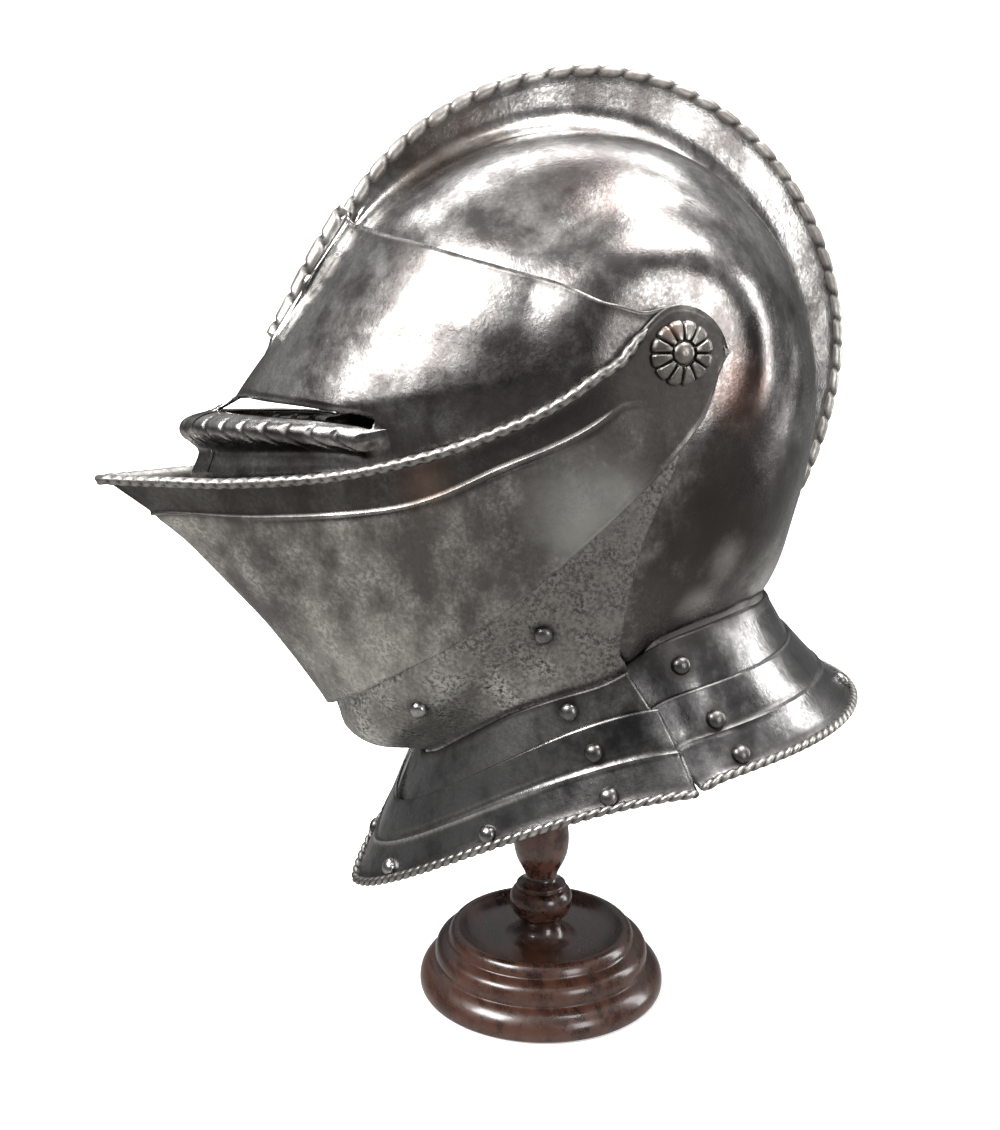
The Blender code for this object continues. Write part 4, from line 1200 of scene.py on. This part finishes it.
def make_pivot(side):
    """A pin and washer with a rosette of twelve petals round a domed button."""
    name = "left" if side > 0 else "right"
    outer = VENTAIL_WIDTH + GAP
    bm = bmesh.new()
    layer = bm.verts.layers.float.new("painted_shade_and_marks")
    around = ROSETTE_PETALS * 16
    radii = [0.0, 0.10, 0.18, 0.25, 0.30, 0.335, 0.36, 0.38, 0.42, 0.5, 0.6, 0.7, 0.8, 0.88, 0.94, 0.98]
    radii += [1.0, 1.0]
    rings = []
    for n, share in enumerate(radii):
        ring = []
        for k in range(around):
            a = 2 * math.pi * k / around
            part = (k / around * ROSETTE_PETALS) % 1.0
            from_groove = min(part, 1 - part) * 2 * math.pi / ROSETTE_PETALS * share * ROSETTE_RADIUS
            groove = bump(from_groove, 0.00042) if share > 0.37 else 0.0
            scallop = 1 - 0.055 * bump(min(part, 1 - part), 0.16) * ease(0.7, 1.0, share)
            if share < 0.345:
                height = ROSETTE_HEIGHT * (0.72 + 0.50 * math.sqrt(max(1 - (share / 0.345) ** 2, 0.0)))
            elif share < 0.385:
                height = ROSETTE_HEIGHT * 0.52
            else:
                crown = ROSETTE_HEIGHT * mix(0.98, 0.62, ease(0.45, 1.0, share))
                height = crown * (1 - 0.42 * groove) - ROSETTE_HEIGHT * 0.30 * ease(0.90, 1.0, share)
            if n == len(radii) - 1:
                height = 0.0
            r = share * ROSETTE_RADIUS * scallop
            y = PIVOT_BACK + r * math.cos(a)
            z = PIVOT_HEIGHT + r * math.sin(a)
            vert = bm.verts.new((side * (outer + height), y, z))
            # painted shade in the petal grooves, in the ring round the button and towards the rim
            vert[layer] = max(groove, bump(share - 0.365, 0.022), 0.5 * ease(0.9, 1.0, share))
            ring.append(vert)
        rings.append(ring)
    inner = SKULL_WIDTH - WALL - GAP
    for radius, x in ((PIN_RADIUS, outer), (PIN_RADIUS, inner), (CLINCH_RADIUS, inner),
                      (CLINCH_RADIUS * 0.9, inner - CLINCH_THICKNESS),
                      (0.0002, inner - CLINCH_THICKNESS * 1.15)):
        ring = []
        for k in range(around):
            a = 2 * math.pi * k / around
            y = PIVOT_BACK + radius * math.cos(a)
            z = PIVOT_HEIGHT + radius * math.sin(a)
            ring.append(bm.verts.new((side * x, y, z)))
        rings.append(ring)
    for low, high in zip(rings, rings[1:]):
        for k in range(around):
            m = (k + 1) % around
            bm.faces.new((low[k], low[m], high[m], high[k]))
    bm.faces.new(rings[-1])
    bmesh.ops.remove_doubles(bm, verts=rings[0], dist=0.00001)
    bmesh.ops.recalc_face_normals(bm, faces=bm.faces)
    finish_object(name + "_rosette", bm, "carried_helm", ("pivot_" + name,), ROSETTE_LOOK, 50)


def make_rivet(name, plate, near, body):
    """A domed head on a plate's outer side, a little sunk."""
    places = [v.co for v in plate.data.vertices]
    tree = BVHTree.FromPolygons(places, [p.vertices for p in plate.data.polygons])
    place, normal, _, _ = tree.find_nearest(near)
    turn = Vector((0, 0, 1)).rotation_difference(normal).to_matrix()
    bm = bmesh.new()
    rings = []
    profile = [(1.0, -0.12), (1.02, 0.04), (0.985, 0.22)]
    for k in range(1, 8):
        a = math.radians(12 * k)
        profile.append((0.985 * math.cos(a), 0.22 + 0.86 * math.sin(a)))
    for radius, height in profile:
        ring = []
        for k in range(28):
            a = 2 * math.pi * k / 28
            wobble = 1 + 0.02 * math.sin(a * 3 + place.x * 900)
            flat = Vector((math.cos(a), math.sin(a), 0)) * RIVET_RADIUS * 0.82 * radius * wobble
            flat.z = RIVET_HEIGHT * 0.92 * height
            ring.append(bm.verts.new(place + turn @ flat))
        rings.append(ring)
    for low, high in zip(rings, rings[1:]):
        for k in range(28):
            n = (k + 1) % 28
            bm.faces.new((low[k], low[n], high[n], high[k]))
    bm.faces.new(rings[0][::-1])
    bm.faces.new(rings[-1])
    finish_object(name + "_head", bm, body, (name,), RIVET_LOOK, 50)


def make_rivets():
    plates = {"bevor": "bevor_plate", "front_lame": "front_neck_lame", "front_plate": "front_neck_plate",
              "rear_lame": "rear_neck_lame", "rear_plate": "rear_neck_plate"}
    for node in sorted(frame["nodes"]):
        if "_rivet_" not in node:
            continue
        low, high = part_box(node)
        word = node.split("_rivet_")[0]
        body = "carried_helm" if word.startswith("rear") else "bevor_body"
        make_rivet(node, bpy.data.objects[plates[word]], (low + high) / 2, body)


# The stand

STAND_PROFILE = (
    (0.900, 0.000), (0.960, 0.004), (0.992, 0.035), (1.000, 0.110), (0.998, 0.190), (0.985, 0.280),
    (0.955, 0.365),
    (0.915, 0.430), (0.885, 0.455), (0.872, 0.470), (0.870, 0.500), (0.874, 0.540), (0.870, 0.620),
    (0.858, 0.700),
    (0.838, 0.750), (0.800, 0.790), (0.770, 0.805), (0.762, 0.820), (0.758, 0.860), (0.748, 0.915),
    (0.735, 0.955),
    (0.720, 0.985), (0.700, 1.000), (0.680, 0.998), (0.662, 0.980), (0.645, 0.950), (0.622, 0.910),
    (0.580, 0.860),
    (0.500, 0.820), (0.380, 0.805), (0.300, 0.800),
)
POST_PROFILE = (
    (1.30, -0.118), (1.16, -0.105), (1.02, -0.085), (0.90, -0.055), (0.80, -0.010), (0.74, 0.045),
    (0.745, 0.080),
    (0.86, 0.100), (0.98, 0.125), (1.07, 0.170), (1.115, 0.225), (1.125, 0.265), (1.10, 0.315), (1.03, 0.355),
    (0.93, 0.378), (0.86, 0.386), (0.86, 0.392), (0.885, 0.404), (0.890, 0.418), (0.862, 0.430),
    (0.74, 0.440),
    (0.61, 0.462), (0.555, 0.485), (0.57, 0.520), (0.64, 0.565), (0.76, 0.620), (0.87, 0.680), (0.95, 0.750),
    (0.995, 0.830), (0.995, 0.920), (0.96, 1.000), (0.90, 1.120), (0.80, 1.300), (0.72, 1.450), (0.66, 1.650),
    (0.62, 1.900),
)


def make_stand():
    _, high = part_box("stand")
    crown = high.z
    profile = [(BASE_RADIUS * r, BASE_HEIGHT * h) for r, h in STAND_PROFILE]
    profile += [(POST_RADIUS * r, BASE_HEIGHT + POST_TURNING * h) for r, h in POST_PROFILE]
    stem = profile[-1][0]
    knob_low = crown - KNOB_RADIUS
    profile.append((stem, knob_low - KNOB_RADIUS * 0.45))
    for k in range(1, 7):
        t = k / 6
        profile.append((mix(stem, KNOB_RADIUS * 0.92, t ** 1.6), knob_low + KNOB_RADIUS * mix(-0.4, 0.35, t)))
    for k in range(9):
        radius = KNOB_RADIUS * math.cos(math.radians(10.5 * k))
        drop = KNOB_ROUNDING - math.sqrt(KNOB_ROUNDING ** 2 - radius ** 2)
        profile.append((radius, crown - 0.0004 - drop))
    bm = bmesh.new()
    rings = []
    for radius, height in profile:
        ring = []
        for k in range(96):
            a = 2 * math.pi * k / 96
            ring.append(bm.verts.new((radius * math.cos(a), radius * math.sin(a), height)))
        rings.append(ring)
    for low, up in zip(rings, rings[1:]):
        for k in range(96):
            n = (k + 1) % 96
            bm.faces.new((low[k], low[n], up[n], up[k]))
    bm.faces.new(rings[0][::-1])
    bm.faces.new(rings[-1])
    bmesh.ops.recalc_face_normals(bm, faces=bm.faces)
    made = finish_object("turned_stand", bm, "carried_helm", ("stand",), WOOD_LOOK, 50)
    smooth = made.modifiers.new("smooth", "SUBSURF")
    smooth.levels = 1
    smooth.render_levels = 1


ROSETTE_LOOK = steel("rosette_steel", (0.60, 0.585, 0.55), (0.20, 0.18, 0.165), 0.30, 0.50, (0.20, 0.36), (
    ((0.1075, 0.0150, 0.2830), 0.002, 0.005, (0.34, 0.20, 0.15), 0.5),))
RIVET_LOOK = steel("rivet_steel", (0.58, 0.57, 0.55), (0.12, 0.115, 0.11), 0.42, 0.35, (0.18, 0.38))

make_skull()
make_ventail()
bevor_neck = make_bevor()
make_visor()
make_gorget(bevor_neck)
for side in (1, -1):
    make_pivot(side)
make_rivets()
make_stand()


# The room

def make_floor():
    bm = bmesh.new()
    points = []
    for k in range(25):
        t = k / 24
        if t < 0.6:
            points.append((mix(3.0, -1.6, t / 0.6), 0.0))
        else:
            a = (t - 0.6) / 0.4 * math.pi / 2
            points.append((-1.6 - 1.2 * math.sin(a), 1.2 - 1.2 * math.cos(a)))
    points.append((-2.8, 4.0))
    rows = [[bm.verts.new((x, y, z)) for y in (-4.0, 4.0)] for x, z in points]
    for a, b in zip(rows, rows[1:]):
        bm.faces.new((a[0], a[1], b[1], b[0]))
    mesh = bpy.data.meshes.new("pale_floor")
    bm.to_mesh(mesh)
    bm.free()
    floor = bpy.data.objects.new("pale_floor", mesh)
    bpy.context.scene.collection.objects.link(floor)
    mesh.shade_smooth()
    g = Graph("pale_floor")
    tone = g.ramp(g.cloud(3.0, 2.0), 0.3, 0.7, 0.86, 0.90)
    made = g.node("ShaderNodeCombineColor")
    for socket in made.inputs[:3]:
        g.link(tone, socket)
    g.link(made.outputs["Color"], g.shader.inputs["Base Color"])
    g.shader.inputs["Roughness"].default_value = 0.7
    g.shader.inputs["Emission Color"].default_value = (1.0, 1.0, 1.0, 1.0)
    g.shader.inputs["Emission Strength"].default_value = 0.45
    mesh.materials.append(g.material)
    floor.visible_glossy = False
    floor.visible_shadow = False


def softbox(name, place, aim, size, power, spread=180):
    data = bpy.data.lights.new(name, "AREA")
    data.shape = "RECTANGLE"
    data.size, data.size_y = size
    data.energy = power
    data.spread = math.radians(spread)
    lamp = bpy.data.objects.new(name, data)
    bpy.context.scene.collection.objects.link(lamp)
    lamp.location = place
    lamp.rotation_mode = "QUATERNION"
    lamp.rotation_quaternion = (Vector(aim) - Vector(place)).to_track_quat("-Z", "Y")
    return lamp


def make_room():
    world = bpy.data.worlds.new("studio")
    bpy.context.scene.world = world
    world.use_nodes = True
    tree = world.node_tree
    back = tree.nodes["Background"]
    coords = tree.nodes.new("ShaderNodeTexCoord").outputs["Generated"]
    split = tree.nodes.new("ShaderNodeSeparateXYZ")
    tree.links.new(coords, split.inputs[0])
    ramp = tree.nodes.new("ShaderNodeValToRGB")
    ramp.color_ramp.elements[0].position = 0.25
    ramp.color_ramp.elements[0].color = (0.72, 0.71, 0.68, 1)
    ramp.color_ramp.elements[1].position = 0.95
    ramp.color_ramp.elements[1].color = (1.0, 1.0, 1.0, 1)
    for place, tone in ((0.42, 0.30), (0.50, 0.13), (0.62, 0.13)):
        middle = ramp.color_ramp.elements.new(place)
        middle.color = (tone, tone, tone, 1)
    half = tree.nodes.new("ShaderNodeMapRange")
    half.inputs["From Min"].default_value = -1.0
    tree.links.new(split.outputs["Z"], half.inputs["Value"])
    tree.links.new(half.outputs["Result"], ramp.inputs["Fac"])
    tree.links.new(ramp.outputs["Color"], back.inputs["Color"])
    back.inputs["Strength"].default_value = 0.9
    middle_of_helm = (0.0, 0.0, 0.25)
    softbox("window", (0.45, -1.20, 1.30), middle_of_helm, (0.9, 0.7), 48)
    softbox("top", (0.30, 0.45, 1.60), middle_of_helm, (1.0, 0.7), 40)
    softbox("side", (1.30, 0.55, 0.45), middle_of_helm, (0.4, 0.6), 7)
    softbox("rear", (0.10, 1.5, 0.55), middle_of_helm, (0.35, 1.2), 12)
    softbox("backdrop", (-1.2, 0.0, 2.2), (-2.4, 0.0, 0.5), (2.5, 1.0), 60)


CAMERA_PLACE = (0.48296, -0.12941, 0.2735)
CAMERA_LENS = 38.28
CAMERA_PITCH = -9.7
CAMERA_HEADING = -77.08


def make_camera():
    data = bpy.data.cameras.new("camera")
    data.sensor_width = 36.0
    data.lens = CAMERA_LENS
    camera = bpy.data.objects.new("camera", data)
    bpy.context.scene.collection.objects.link(camera)
    camera.location = CAMERA_PLACE
    pitch = math.radians(CAMERA_PITCH)
    heading = math.radians(CAMERA_HEADING)
    flat = Vector((math.sin(heading), math.cos(heading), 0)) * math.cos(pitch)
    ahead = flat + Vector((0, 0, math.sin(pitch)))
    camera.rotation_mode = "QUATERNION"
    camera.rotation_quaternion = ahead.to_track_quat("-Z", "Y")
    bpy.context.scene.camera = camera


make_floor()
make_room()
make_camera()
bpy.context.scene.view_settings.view_transform = "Standard"
